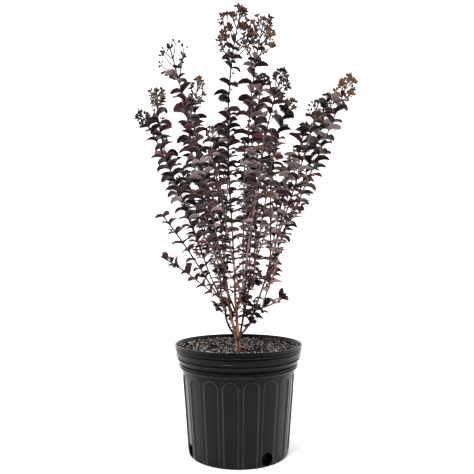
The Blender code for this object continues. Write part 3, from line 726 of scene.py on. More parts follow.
class Crown:
    """What the shrub bears: wood as (points, half widths), leaves and buds as rows of numbers.

    starts and ends are short stretches of all shoots, owners says which mass each is of, and
    centre is the line of the centre stem. owner is the mass that grows now, by draws from rng.
    """

    def __init__(self, looks, owners, starts, ends, centre):
        self.looks = looks
        self.owners = owners
        self.starts = starts
        self.runs = ends - starts
        self.centre = centre
        self.owner = None
        self.rng = None
        self.shoots = []
        self.twigs = []
        self.stalks = []
        self.leaves = []
        self.buds = []

    def keeps(self, points, slack):
        """True where points are nearer to their own mass's shoots than to others', less slack."""
        share = ((points[:, None] - self.starts) * self.runs).sum(axis=2)
        share = np.clip(share / (self.runs * self.runs).sum(axis=1), 0, 1)
        gaps = np.linalg.norm(points[:, None] - self.starts - share[..., None] * self.runs, axis=2)
        own = self.owners == self.owner
        return bool((gaps[:, own].min(axis=1) < gaps[:, ~own].min(axis=1) + slack).all())

    def hides_stem(self, spots):
        """True where a leaf would stand in front of the bare centre stem."""
        x, y, z = self.centre.T
        before = (spots[:, 1] < np.interp(spots[:, 2], z, y)) & (spots[:, 2] < BARE_TOP)
        aside = np.abs(spots[:, 0] - np.interp(spots[:, 2], z, x))
        return bool((before & (aside < BARE_HALF_WIDTH)).any())

    def draw_tint(self, place):
        """A spray's tint. Each tint's share goes from its left to its right value across x."""
        right = soft_step((place[0] - TINTS_FROM) / TINTS_OVER)
        shares = [row[5] * (1 - right) + row[6] * right for row in LEAF_TINTS]
        return int(self.rng.choice(len(LEAF_TINTS), p=shares))

    def add_leaf(self, place, heading, angle, size, tint):
        """One leaf at an angle round a shoot. A leaf that leaves its mass's room is tried smaller.

        On a shoot that lies flat the leaves spread level and lean on towards its tip. High in
        the crown each blade rolls so that its back turns away from the line at ROLL_AXIS.
        """
        rng = self.rng
        side, front = crown_axes(heading)
        flat = flatness(heading)
        out = unit(side * math.cos(angle) + front * math.sin(angle) * (1 - FLAT_SPRAY * flat))
        level = out + heading * (LEAN_ON[0] + LEAN_ON[1] * flat)
        level[2] = max(level[2], LOWEST_AIM)
        level = unit(level)
        rise = self.looks.leaf_rise + rng.normal(0, RISE_SPREAD)
        drop = self.looks.leaf_drop + rng.normal(0, DROP_SPREAD)
        away = unit(np.array((place[0], place[1] - ROLL_AXIS, 0.0)))
        erect = 2 * soft_step((place[2] - ERECT_FROM) / ERECT_OVER) - 1
        roll = erect * self.looks.leaf_roll * np.cross(level, UP).dot(away)
        roll += rng.normal(0, ROLL_SPREAD)
        mean = (rise + drop) / 2
        aim = level * math.cos(mean) + UP * math.sin(mean)
        for scale in SMALLER_TRIES:
            length = self.looks.leaf_length * size * scale
            spots = np.array([place + aim * length * share for share in (0.6, 1.0)])
            clear = spots[1, 2] > SOIL_TOP + SOIL_ROOM and not self.hides_stem(spots)
            if clear and self.keeps(spots, LEAF_ROOM):
                self.leaves.append((*place, *level, length, rise, drop, rng.normal(0, TWIST_SPREAD),
                                    rng.uniform(*BREADTHS), rng.uniform(*FOLDS), tint, roll))
                return

    def add_pair(self, place, heading, turn, size, tint):
        """Two opposite leaves. A few are missing, and some have a tint of their own."""
        rng = self.rng
        for half in (0.0, math.pi):
            if rng.random() < MISSING_LEAVES:
                continue
            own_tint = self.draw_tint(place) if rng.random() < OWN_TINTS else tint
            self.add_leaf(place, heading, turn + half + rng.normal(0, PAIR_SPREAD),
                          size * rng.uniform(*PAIR_SIZES), own_tint)

    def add_twig(self, root, aim, reach, sizes, tint, width=TWIG_FOOT):
        """A side twig that curves upwards, with crossed leaf pairs and a small pair at its end."""
        rise = UP * TWIG_RISE * reach
        knots = np.array([root, root + aim * reach * 0.5 + rise * 0.15,
                          root + aim * reach + rise * 0.5])
        if not self.keeps(knots[1:], TWIG_ROOM):
            return
        line = Line(knots, TWIG_POINTS)
        self.twigs.append((line.cut(line.length, TWIG_POINTS),
                           np.linspace(width, TWIG_TIP, TWIG_POINTS)))
        turn = self.rng.normal(0, TWIG_TURN)
        pitch = self.looks.leaf_pitch * (0.55 + 0.3 * min(1, reach / LONG_TWIG))
        count = max(1, int(line.length / pitch))
        for index in range(count):
            distance = line.length * (index + 1) / (count + 0.15)
            share = distance / line.length
            self.add_pair(line.place(distance), line.heading(distance - 1 * MM),
                          turn + crossed(index), sizes[0] + (sizes[1] - sizes[0]) * share, tint)
        self.add_pair(line.place(line.length), line.heading(line.length - 1 * MM),
                      turn + crossed(count), sizes[1] * 0.6, tint)

    def add_stalk(self, start, end, width):
        """A straight flower stalk of even thickness."""
        self.stalks.append((np.linspace(start, end, STALK_POINTS), np.full(STALK_POINTS, width)))

    def add_knot(self, spot, aim, count, spread, stalk, tint):
        """A knot of buds on short stalks that fan out round one direction, by the golden angle."""
        spin = self.rng.uniform(0, 2 * math.pi)
        for index in range(count):
            fan = unit(aim + spread * outward(aim, spin + index * GOLDEN_ANGLE))
            top = spot + fan * stalk * self.rng.uniform(0.6, 1.3)
            self.add_stalk(spot, top, BUD_STALK)
            size = self.looks.bud_size * self.rng.uniform(*BUD_SIZES)
            self.buds.append((*top, *fan, size, tint))

    def add_flower_head(self, tip, heading, head):
        """Steep side stalks in crossed pairs, shorter towards the top, budded on their outer parts.

        A branch reaches half width (1 - share)^0.75 sqrt(1 + steepness^2), never past the top.
        """
        rng = self.rng
        height, half_width, fullness, tint = head[0] * MM, head[1] * MM, head[2], head[3]
        full = fullness > OPEN_HEAD
        wide, long, steepness, end_buds, side_buds = HEAD_HABITS[full]
        levels = max(2, round(height / (self.looks.head_pitch * wide)))
        stalk = self.looks.bud_stalk * long
        leaf_tint = SAGE if tint == "pale" else self.draw_tint(tip)
        for level in range(levels):
            share = level / levels
            root = tip - heading * height * (1 - share)
            steep = rng.uniform(*steepness)
            reach = half_width * (1 - share) ** 0.75 * math.hypot(1, steep) + 4 * MM
            reach = min(reach * rng.uniform(0.8, 1.1), height * (1 - share) + 6 * MM)
            for half in (0.0, math.pi):
                angle = crossed(level) + half + rng.normal(0, BRANCH_SPREAD)
                out = outward(heading, angle)
                aim = unit(out + heading * steep)
                end = root + aim * reach
                line = Line((root, (root + end) / 2 + out * reach * 0.05, end), STALK_POINTS)
                self.stalks.append((line.points, np.linspace(*BRANCH_WIDTHS, STALK_POINTS)))
                stray = STRAY_BUDS[rng.integers(len(STRAY_BUDS))]
                branch = stray if full and rng.random() < STRAY_BRANCHES else tint
                self.add_knot(end, aim, end_buds, 1.0, stalk, branch)
                across = unit(np.cross(aim, heading))
                spot_at = BUDDED_FROM * line.length
                while spot_at < line.length - 4 * MM:
                    spot = line.place(spot_at)
                    for hand in (across, -across):
                        if rng.random() < fullness:
                            lean = unit(aim + hand * 0.9 + rng.normal(0, 0.3, 3))
                            bend = spot + lean * rng.uniform(3, 7) * MM
                            self.add_stalk(spot, bend, BRANCHLET)
                            self.add_knot(bend, lean, side_buds, 0.9, stalk, branch)
                    spot_at += BUD_NODES * rng.uniform(0.85, 1.2)
                if share < BRACTS_BELOW:
                    self.add_leaf(root, heading, angle + 0.6, rng.uniform(*BRACT_SIZES), leaf_tint)
        self.add_knot(tip - heading * 2 * MM, heading, 6, 0.8, stalk, tint)

    def dress_shoot(self, line, head, first):
        """Leaf pairs, side growth, and a flower head or a small end pair, on one shoot."""
        rng = self.rng
        leafy = line.length - (head[0] if head else 4) * MM
        vigour, wide = SHOOT_HABITS[bool(head)]
        pitch = self.looks.leaf_pitch * wide
        turn = rng.uniform(-0.5, 0.5)
        tint = self.draw_tint(line.place(leafy / 2))
        distance = first
        index = 0
        while distance < leafy:
            share = distance / leafy
            place, heading = line.place(distance), line.heading(distance)
            angle = turn + crossed(index)
            self.add_pair(place, heading, angle, leaf_scale(share) * vigour, tint)
            for half in (0.0, math.pi):
                out = outward(heading, angle + half + rng.normal(0, SIDE_SPREAD))
                self.add_side_growth(place, heading, out, share, rng.random() / vigour ** 2, tint)
            if rng.random() < NEW_TINTS:
                tint = self.draw_tint(place)
            distance += pitch * rng.uniform(0.9, 1.1)
            index += 1
        end = line.length
        if head:
            self.add_flower_head(line.place(end - 11 * MM), line.heading(end - 12 * MM), head)
        else:
            for step, size in END_PAIRS:
                self.add_pair(line.place(end - step * MM), line.heading(end - 2 * MM),
                              turn + step, size, tint)

    def add_side_growth(self, place, heading, out, share, draw, tint):
        """The twig of the first row of SIDE_GROWTH that the draw and the share of length fit."""
        for chance, low, high, steepness, reaches, fall, sizes, width, own in SIDE_GROWTH:
            if draw < chance and low < share <= high:
                aim = unit(out + heading * self.rng.uniform(*steepness))
                reach = self.rng.uniform(*reaches) * MM * (fall[0] - fall[1] * share)
                tint = self.draw_tint(place) if own else tint
                self.add_twig(place, aim, reach, sizes, tint, width * MM)
                return


def grow(looks):
    """The whole crown by the seeded rule: each mass's shoots, then twigs on stems and boughs."""
    lines, forks = limb_lines()
    shoots = [shoot_lines(forks[name], rows) for name, _, rows in MASSES]
    stretches = [line.cut(line.length, STRETCHES + 1) for group in shoots for line in group]
    owners = np.repeat(np.arange(len(MASSES)), [STRETCHES * len(group) for group in shoots])
    centre = np.vstack((lines["stem_centre"], lines["bough_centre"][1:], shoots[0][0].points[12:]))
    crown = Crown(looks, owners, np.vstack([stretch[:-1] for stretch in stretches]),
                  np.vstack([stretch[1:] for stretch in stretches]), centre)
    share = np.linspace(0, 1, WOOD_POINTS)
    for owner, (_, carrier, rows) in enumerate(MASSES):
        crown.owner = owner
        crown.rng = np.random.default_rng(looks.seed + owner)
        thick = next(limb[5] for limb in LIMBS if limb[0] == carrier) * MM
        for index, (line, shoot) in enumerate(zip(shoots[owner], rows)):
            foot = SHOOT_FOOT if index else min(0.95 * thick, STEM_FOOT)
            width = SHOOT_TIP + (foot - SHOOT_TIP) * (1 - share) ** 0.8
            crown.shoots.append((line.cut(line.length, WOOD_POINTS), width))
            crown.dress_shoot(line, shoot[4], FIRST_PAIRS[index > 0])
    rng = crown.rng = np.random.default_rng(looks.seed + len(MASSES))
    for limb, along, mass, bearing, reach in STEM_TWIGS:
        crown.owner = MASS_NAMES.index(mass)
        line = Line(lines[limb], LIMB_POINTS)
        root = line.place(line.length * along)
        crown.add_twig(root, bearing_aim(math.radians(bearing), 0.5), reach, STEM_TWIG_LEAVES,
                       crown.draw_tint(root))
    for owner, (_, carrier, _) in enumerate(MASSES):
        crown.owner = owner
        line = Line(lines[carrier], LIMB_POINTS)
        for along in BOUGH_TWIGS:
            root = line.place(line.length * along)
            aim = bearing_aim(rng.uniform(0, 2 * math.pi), rng.uniform(*BOUGH_TWIG_RISES))
            reach = rng.uniform(*BOUGH_TWIG_REACHES) * MM
            crown.add_twig(root, aim, reach, BOUGH_TWIG_LEAVES, crown.draw_tint(root))
    return crown


# Finishes

def grained_finish(name, size, detail, relief, colours, drawn=None, coarse=0.5, **values):
    """A finish under one noise pattern, which lifts its surface and deals out its colours.

    size is the width of the pattern's features in mm, relief is (strength, depth in mm), drawn
    stretches the pattern up a stem, and colours are a ramp's stops or one hex colour.
    """
    finish, tree, shader, place = new_finish(name, **values)
    if drawn:
        place = add_node(tree, "ShaderNodeMapping", {"Scale": (1.0, 1.0, drawn)},
                         {"Vector": place}).outputs["Vector"]
    grain = add_node(tree, "ShaderNodeTexNoise", {"Scale": per_mm(size), "Detail": detail,
                                                  "Roughness": coarse}, {"Vector": place})
    if isinstance(colours, str):
        shader.inputs["Base Color"].default_value = linear(colours)
    else:
        tone = add_node(tree, "ShaderNodeValToRGB", links={"Fac": grain.outputs["Fac"]})
        set_stops(tone, colours)
        tree.links.new(tone.outputs["Color"], shader.inputs["Base Color"])
    if relief:
        bump = add_node(tree, "ShaderNodeBump", {"Strength": relief[0], "Distance": relief[1] * MM},
                        {"Height": grain.outputs["Fac"]})
        tree.links.new(bump.outputs["Normal"], shader.inputs["Normal"])
    return finish


def polypropylene(colour):
    """Black polypropylene, injection moulded: an even soft sheen, with faint handling scuffs."""
    finish, tree, shader, place = new_finish("moulded_polypropylene", IOR=1.49,
                                             Specular_IOR_Level=0.13, Sheen_Weight=0.24,
                                             Sheen_Roughness=0.25)
    scuff = add_node(tree, "ShaderNodeTexNoise", {"Scale": per_mm(55), "Detail": 4.0},
                     {"Vector": place})
    tone = add_node(tree, "ShaderNodeValToRGB", links={"Fac": scuff.outputs["Fac"]})
    set_stops(tone, ((0.3, colour), (0.7, "#0b0b0c")))
    tree.links.new(tone.outputs["Color"], shader.inputs["Base Color"])
    gloss = add_node(tree, "ShaderNodeMapRange", {"To Min": 0.17, "To Max": 0.27},
                     {"Value": scuff.outputs["Fac"]})
    tree.links.new(gloss.outputs["Result"], shader.inputs["Roughness"])
    # The mould's texture is about 0.3 mm across, drawn at 1.5 mm so that it shows
    grain = add_node(tree, "ShaderNodeTexNoise", {"Scale": per_mm(1.5), "Detail": 2.0},
                     {"Vector": place})
    bump = add_node(tree, "ShaderNodeBump", {"Strength": 0.06, "Distance": 0.3 * MM},
                    {"Height": grain.outputs["Fac"]})
    tree.links.new(bump.outputs["Normal"], shader.inputs["Normal"])
    return finish


def flute_highlight_finish():
    """The flutes' edges: the same plastic with more shine, painted lighter in patches as a
    highlight.
    """
    return grained_finish("flute_edge_painted_highlight", 6, 3.0, None, ((0.35, "#08080a"), (0.65, "#151517")),
                          Roughness=0.30, IOR=1.49, Specular_IOR_Level=0.33, Sheen_Weight=0.24,
                          Sheen_Roughness=0.25)


def bark_mix():
    """Damp composted bark: near black between crumbs, brown and grey on them, with no shine."""
    stops = ((0.44, "#060403"), (0.54, "#1c1512"), (0.64, "#453a33"), (0.74, "#8f857d"))
    return grained_finish("damp_bark_mix", 3, 6.0, (0.8, 1.2), stops, coarse=0.7,
                          Roughness=0.95, Specular_IOR_Level=0.1)


def bark_chip(name, code):
    """A crumb of composted bark, matt and fibrous. Fibres of 0.3 mm are drawn at 1.5 mm."""
    return grained_finish("bark_chip_" + name, 1.5, 3.0, (0.5, 0.4), code,
                          Roughness=0.85, Specular_IOR_Level=0.12)


def stem_bark(kind):
    """Living bark: strips that run along the stem, paler where the thin outer skin has peeled."""
    name, stops, roughness, strip = BARKS[kind]
    return grained_finish(name, strip, 5.0, (0.6, 0.4), stops, drawn=STRIP_DRAW, coarse=0.62,
                          Roughness=roughness, Specular_IOR_Level=0.35)


def shoot_skin():
    """Skin of the shoots: tan and pinkish where it has aged, wine red with a slight shine above."""
    finish, tree, shader, place = new_finish("wine_red_shoot_skin", Roughness=0.55,
                                             Specular_IOR_Level=0.35)
    drawn = add_node(tree, "ShaderNodeMapping", {"Scale": (1.0, 1.0, STRIP_DRAW)},
                     {"Vector": place})
    streak = add_node(tree, "ShaderNodeTexNoise", {"Scale": per_mm(2.5), "Detail": 4.0},
                      {"Vector": drawn.outputs["Vector"]})
    aged = add_node(tree, "ShaderNodeValToRGB", links={"Fac": streak.outputs["Fac"]})
    set_stops(aged, ((0.35, "#3d241d"), (0.52, "#8d6a5a"), (0.68, "#b8998a")))
    fresh = add_node(tree, "ShaderNodeValToRGB", links={"Fac": streak.outputs["Fac"]})
    set_stops(fresh, ((0.35, "#1a0c0e"), (0.6, "#3a2122"), (0.75, "#6b4c49")))
    split = add_node(tree, "ShaderNodeSeparateXYZ", links={"Vector": place})
    # Shoots on the left are younger, so their dark skin starts lower
    young = add_node(tree, "ShaderNodeMath", {1: -1.5}, {0: split.outputs["X"],
                                                         2: split.outputs["Z"]},
                     operation="MULTIPLY_ADD")
    height = add_node(tree, "ShaderNodeMapRange", {"From Min": 0.44, "From Max": 0.64},
                      {"Value": young.outputs["Value"]})
    tone = add_node(tree, "ShaderNodeMix", links={0: height.outputs["Result"],
                                                  6: aged.outputs["Color"],
                                                  7: fresh.outputs["Color"]}, data_type="RGBA")
    tree.links.new(tone.outputs[2], shader.inputs["Base Color"])
    bump = add_node(tree, "ShaderNodeBump", {"Strength": 0.5, "Distance": 0.3 * MM},
                    {"Height": streak.outputs["Fac"]})
    tree.links.new(bump.outputs["Normal"], shader.inputs["Normal"])
    return finish


def leaf_skin(name, code, roughness, shine):
    """Leaf skin: a plain tint under a thin wax that gives a broad soft shine.

    Veins stand about 2 mm apart, and the blade puckers between them, drawn at 4 mm.
    """
    return grained_finish(name, 4, 2.0, (0.5, 0.8), code, Roughness=roughness, IOR=1.45,
                          Specular_IOR_Level=shine)


def bud_skin(name, code):
    """A flower bud's ribbed husk, matt, in one tint."""
    return grained_finish("bud_husk_" + name, 1.2, 1.0, (0.4, 0.4), code, Roughness=0.6,
                          Specular_IOR_Level=0.4)


def white_paper(colour):
    """Matt white background paper."""
    finish, _, shader, _ = new_finish("matt_background_paper", Roughness=0.9,
                                      Specular_IOR_Level=0.1)
    shader.inputs["Base Color"].default_value = linear(colour)
    return finish


# Settings

def length(name, description, default):
    """A setting in metres."""
    return FloatProperty(name=name, description=description, default=default, unit="LENGTH")


def slant(name, description, degrees):
    """A setting that is an angle."""
    return FloatProperty(name=name, description=description, default=math.radians(degrees),
                         subtype="ANGLE")


class MyrtlePotSettings(bpy.types.PropertyGroup):
    """Sizes of the nursery pot."""

    flutes: IntProperty(name="Flutes", description="Arched panels round the wall", default=18)
    flute_depth: length("Flute depth", "How far a panel's edge is sunk", 1.9 * MM)
    bead_height: length("Flute bead", "Height of the bead round a panel", 0.6 * MM)
    chips: IntProperty(name="Chips", description="Loose bark chips on the potting mix",
                       default=2600)


class MyrtleFoliageSettings(bpy.types.PropertyGroup):
    """Sizes of the leaves and flower buds, and the seed of the growth rule."""

    seed: IntProperty(name="Seed", description="Start of the random draws", default=40)
    leaf_length: length("Leaf length", "Along the midrib", 35 * MM)
    leaf_width: length("Leaf width", "Across the flat blade", 22 * MM)
    leaf_pitch: length("Leaf pitch", "Between neighbouring leaf pairs", 19.5 * MM)
    leaf_rise: slant("Rise", "Slope at the leaf's foot", 36)
    leaf_drop: slant("Droop", "Slope at the leaf's tip", -27)
    leaf_fold: slant("Fold", "How far each half is folded up", 42)
    leaf_roll: slant("Roll", "How far an erect blade turns its back out", 16)
    head_pitch: length("Head pitch", "Between a flower head's stalk pairs", 14.5 * MM)
    bud_size: length("Bud", "Thickness of a flower bud", 5.1 * MM)
    bud_stalk: length("Bud stalk", "Length of a bud's own stalk", 3.6 * MM)


class MyrtleWoodSettings(bpy.types.PropertyGroup):
    """Relief of the bark."""

    relief: FloatProperty(name="Relief", description="Depth of the bark's lobes against the radius",
                          default=0.10)
    sides: IntProperty(name="Sides", description="Points round a limb", default=28)


class MyrtleStageSettings(bpy.types.PropertyGroup):
    """Floor, lights and background."""

    floor_radius: length("Floor radius", "Half width of the paper floor", 0.8)
    sun: FloatProperty(name="Sun", description="Strength of the soft light from the upper left",
                       default=2.5)
    front_light: FloatProperty(name="Front light", description="Surround's strength in front",
                               default=0.05)
    back_light: FloatProperty(name="Back light", description="Surround's strength behind",
                              default=1.75)
    sky: FloatVectorProperty(name="Background", description="Light of the white studio",
                             default=linear("#ffffff")[:3], subtype="COLOR")


# Operators

class MYRTLE_OT_pot(bpy.types.Operator):
    """Make the fluted wall and the beaded collar of the pot"""

    bl_idname = "myrtle.pot"
    bl_label = "Pot"

    def execute(self, context):
        sizes = context.scene.myrtle_pot
        finish = polypropylene("#050506")
        self.make_wall(sizes, finish)
        self.make_collar(finish)
        return {"FINISHED"}

    def make_wall(self, sizes, finish):
        """A tapering wall and floor; the flutes are arches drawn by distance from their outline."""
        slope = (WALL_TOP_RADIUS - WALL_FOOT_RADIUS) / COLLAR_FOOT
        # The rings stand closer where the panels' arches are
        heights = np.concatenate((np.linspace(3.2, 148, 16), np.linspace(152, 183, 32), (190,)))
        outer = [(WALL_FOOT_RADIUS + slope * z * MM, z * MM) for z in heights]
        foot = [(WALL_FOOT_RADIUS - (FOOT_ROUND - FOOT_ROUND * math.sin(a)) * MM,
                 (FOOT_ROUND - FOOT_ROUND * math.cos(a)) * MM)
                for a in np.linspace(0, math.pi / 2, 5)]
        inner = [(r - WALL, z) for r, z in outer[::-6]] + [(WALL_FOOT_RADIUS - WALL, FLOOR)]
        profile = ([(0, 0), (60 * MM, 0), (98 * MM, 0)] + foot + outer + inner
                   + [(60 * MM, FLOOR), (0, FLOOR)])
        width = FLUTE_HALF_ANGLE * WALL_TOP_RADIUS

        def depth_inside(angle, height):
            """Place across the nearest panel, and distance inside its outline."""
            step = 2 * math.pi / sizes.flutes
            local = (angle - math.radians(FLUTE_PHASE - 90) + step / 2) % step - step / 2
            x = local * WALL_TOP_RADIUS
            over = np.maximum(height - (FLUTE_TOP - width), 0)
            return x, width - np.hypot(x, over)

        def flute(angle, radius, height):
            """The panel's depth and its bead, on the wall's outside only."""
            x, inside = depth_inside(angle, height)
            outside_face = (radius > 1.02 * (WALL_FOOT_RADIUS - WALL + slope * height))
            depth = sizes.flute_depth + PANEL_DISH * (1 - (x / width) ** 2)
            bead = sizes.bead_height * np.exp(-((inside + PANEL_BEAD[0]) / PANEL_BEAD[1]) ** 2)
            fade = soft_step((height - PANEL_FADE[0]) / PANEL_FADE[1])
            return (bead - depth * soft_step(inside / PANEL_EDGE)) * outside_face * fade

        points, faces = close_poles(lathe(profile, sizes.flutes * PANEL_COLUMNS, flute))
        middle = points[faces[0]].mean(axis=1)
        around, up = np.arctan2(middle[:, 1], middle[:, 0]), middle[:, 2]
        inside = depth_inside(around, up)[1]
        outer_wall = np.hypot(middle[:, 0], middle[:, 1]) > WALL_FOOT_RADIUS - WALL / 2 + slope * up
        # Faces along each panel's outline take the finish that is painted lighter as a highlight
        highlit = outer_wall & (inside > HIGHLIGHT_STRIP[0]) & (inside < HIGHLIGHT_STRIP[1]) & (up > HIGHLIGHT_FROM)
        picks = np.concatenate((highlit, np.zeros(len(faces[1]))))
        wall = new_piece("pot_wall", points, faces, [finish, flute_highlight_finish()], picks, 35)
        self.cut_holes(wall, sizes.flutes, finish)
        settle(wall, "pot", "pot")

    def cut_holes(self, wall, flutes, finish):
        """Drain holes: capped tubes through the wall's foot, taken away from it."""
        angles = [math.radians(FLUTE_PHASE - 90 + index * 360 / flutes) for index in HOLE_FLUTES]
        aims = np.array([(math.cos(angle), math.sin(angle), 0) for angle in angles])
        middle = aims * WALL_FOOT_RADIUS + (0, 0, HOLE_HEIGHT)
        paths = np.stack([middle + aims * shift * MM for shift in (-12, -3, 12)], axis=1)
        cutter = tube_piece("holes", tubes(paths, np.full((len(aims), 3), HOLE_RADIUS), 28), finish)
        cut = wall.modifiers.new("holes", "BOOLEAN")
        cut.operation = "DIFFERENCE"
        cut.solver = "MANIFOLD"
        cut.object = cutter
        bpy.context.view_layer.update()
        graph = bpy.context.evaluated_depsgraph_get()
        mesh = bpy.data.meshes.new_from_object(wall.evaluated_get(graph))
        wall.modifiers.clear()
        wall.data = mesh
        mesh.set_sharp_from_angle(angle=math.radians(35))
        bpy.data.objects.remove(cutter)

    def make_collar(self, finish):
        """A stepped ring: its outer line is a chain of steps plus a small bell curve a bead."""
        heights, radii = np.array(COLLAR_LINE).T
        fine = np.arange(heights[-1], heights[0] + 0.1, 0.4)
        line = np.interp(fine, heights[::-1], radii[::-1]) * MM
        for bead in COLLAR_BEADS:
            line += BEAD_HEIGHT * np.exp(-((fine - bead) * MM / BEAD_WIDTH) ** 2)
        profile = list(zip(line, fine * MM)) + [(r * MM, z * MM) for r, z in COLLAR_INSIDE]
        grid = lathe(profile, 180)
        rows, columns, _ = grid.shape
        collar = new_piece("pot_collar", grid.reshape(-1, 3), [grid_quads(rows, columns, True)],
                           [finish], sharp=40)
        settle(collar, "pot", "pot")


class MYRTLE_OT_potting_mix(bpy.types.Operator):
    """Fill the pot with lumpy potting mix and strew bark chips on it"""

    bl_idname = "myrtle.potting_mix"
    bl_label = "Potting mix"

    def execute(self, context):
        self.make_bed()
        self.strew_chips(context.scene.myrtle_pot.chips)
        return {"FINISHED"}

    def make_bed(self):
        """A plug that fills the pot; its top is a flat disc plus two sizes of lattice noise."""
        rim, level, rings = BED_TOP
        profile = list(PLUG_LINE) + [(r, level) for r in np.linspace(rim, 0, rings)]
        grid = lathe(np.array(profile) * MM, 240)
        x, y, z = grid[..., 0], grid[..., 1], grid[..., 2]
        coarse, fine, mound = LUMPS
        lumps = coarse[0] * cell_noise(x, y, coarse[1], 3) + fine[0] * cell_noise(x, y, fine[1], 4)
        lumps += mound[0] * np.exp(-np.hypot(x - TRUNK_FOOT[0], y - TRUNK_FOOT[1]) / mound[1])
        top = z > (level - 1) * MM
        grid[..., 2] += np.where(top, lumps * MM, 0)
        grid[-1] = grid[-1].mean(axis=0)
        points, faces = close_poles(grid)
        bed = new_piece("potting_mix", points, faces, [bark_mix()], sharp=70)
        settle(bed, "soil", "soil")

    def strew_chips(self, count):
        """Chips are short five-sided tubes of random slant, thin at their ends, in four tints."""
        rng = np.random.default_rng(8)
        radius = CHIPS_WITHIN * np.sqrt(rng.random(count))
        angle = rng.uniform(0, 2 * math.pi, count)
        middle = np.stack((radius * np.cos(angle), radius * np.sin(angle),
                           np.full(count, SOIL_TOP)), axis=1)
        middle[:, 2] += rng.uniform(-0.4, 2.2, count) * MM
        aim = rng.normal(0, 1, (count, 3)) * (1, 1, 0.35)
        aim /= np.linalg.norm(aim, axis=1, keepdims=True)
        half = rng.uniform(1.0, 3.5, count)[:, None] * MM
        paths = np.stack([middle + aim * half * shift for shift in (-1, -0.3, 0.5, 1)], axis=1)
        girth = np.array((0.35, 1.0, 0.85, 0.3)) * rng.uniform(0.6, 1.4, (count, 1)) * MM
        grids = tubes(paths, girth[:, :, None] * rng.uniform(0.6, 1.3, (count, 4, 5)), 5)
        draws = rng.choice(len(CHIP_TINTS), count, p=[row[2] for row in CHIP_TINTS])
        for index, (name, code, _) in enumerate(CHIP_TINTS):
            skin = bark_chip(name, code)
            settle(tube_piece("bark_chips_" + name, grids[draws == index], skin, 30), "soil")


class MYRTLE_OT_limbs(bpy.types.Operator):
    """Make the trunk, stems and boughs with their bark"""

    bl_idname = "myrtle.limbs"
    bl_label = "Limbs"

    def execute(self, context):
        sizes = context.scene.myrtle_wood
        lines, _ = limb_lines()
        barks = {kind: stem_bark(kind) for kind in BARKS}
        for index, (name, parent, _, _, foot, tip, kind) in enumerate(LIMBS):
            line = Line(lines[name], LIMB_POINTS)
            radii = self.bark_radii(line, parent is None, foot * MM, tip * MM, sizes, index)
            grid = tubes(line.points[None], radii[None], sizes.sides)
            limb = tube_piece(name + "_bark", grid, barks[kind], 60)
            settle(limb, "young_bark" if kind == "young" else "old_bark", name)
        return {"FINISHED"}

    def bark_radii(self, line, rooted, foot, tip, sizes, seed):
        """Taper, root flare and relief: lobes that drift round the limb, fine strips and nodes."""
        rng = np.random.default_rng(70 + seed)
        reach = line.reach / MM
        share = line.reach / line.length
        turn = np.linspace(0, 2 * math.pi, sizes.sides, endpoint=False)
        reach, turn = np.meshgrid(reach, turn, indexing="ij")
        radii = (foot + (tip - foot) * share)[:, None] * np.ones_like(turn)
        drift = rng.uniform(0, 2 * math.pi, 4)
        lobes = 0.6 * np.cos(2 * turn + drift[0] + reach / 26)
        lobes += 0.5 * np.cos(3 * turn + drift[1] - reach / 19)
        lobes += 0.35 * np.cos(7 * turn + drift[2] + 1.5 * np.sin(reach / 11))
        lobes += 0.2 * np.cos(11 * turn + drift[3] + 1.2 * np.sin(reach / 7))
        radii *= 1 + sizes.relief * lobes
        radii *= 1 + 0.10 * np.exp(-(((reach + 7 * seed) % 23 - 11) / 2.2) ** 2)
        if rooted:
            buttress = 0.15 + 0.1 * np.cos(3 * turn + drift[1])
            radii *= 1 + buttress * np.exp(-reach / 6)
        else:
            radii *= np.where(reach < 4, 0.85 + 0.15 * reach / 4, 1.0)
        radii[-1] *= 0.6
        return radii


class MYRTLE_OT_shoots(bpy.types.Operator):
    """Make the shoots, side twigs and flower stalks"""

    bl_idname = "myrtle.shoots"
    bl_label = "Shoots and twigs"

    def execute(self, context):
        crown = grow(context.scene.myrtle_foliage)
        skin = shoot_skin()
        for name, rows, sides in (("shoots", crown.shoots, 7), ("side_twigs", crown.twigs, 5),
                                  ("flower_stalks", crown.stalks, 4)):
            paths = np.array([row[0] for row in rows])
            radii = np.array([row[1] for row in rows])
            wood = tube_piece(name, tubes(paths, radii, sides), skin, 70)
            settle(wood, "foliage", *MASS_NAMES)
        return {"FINISHED"}


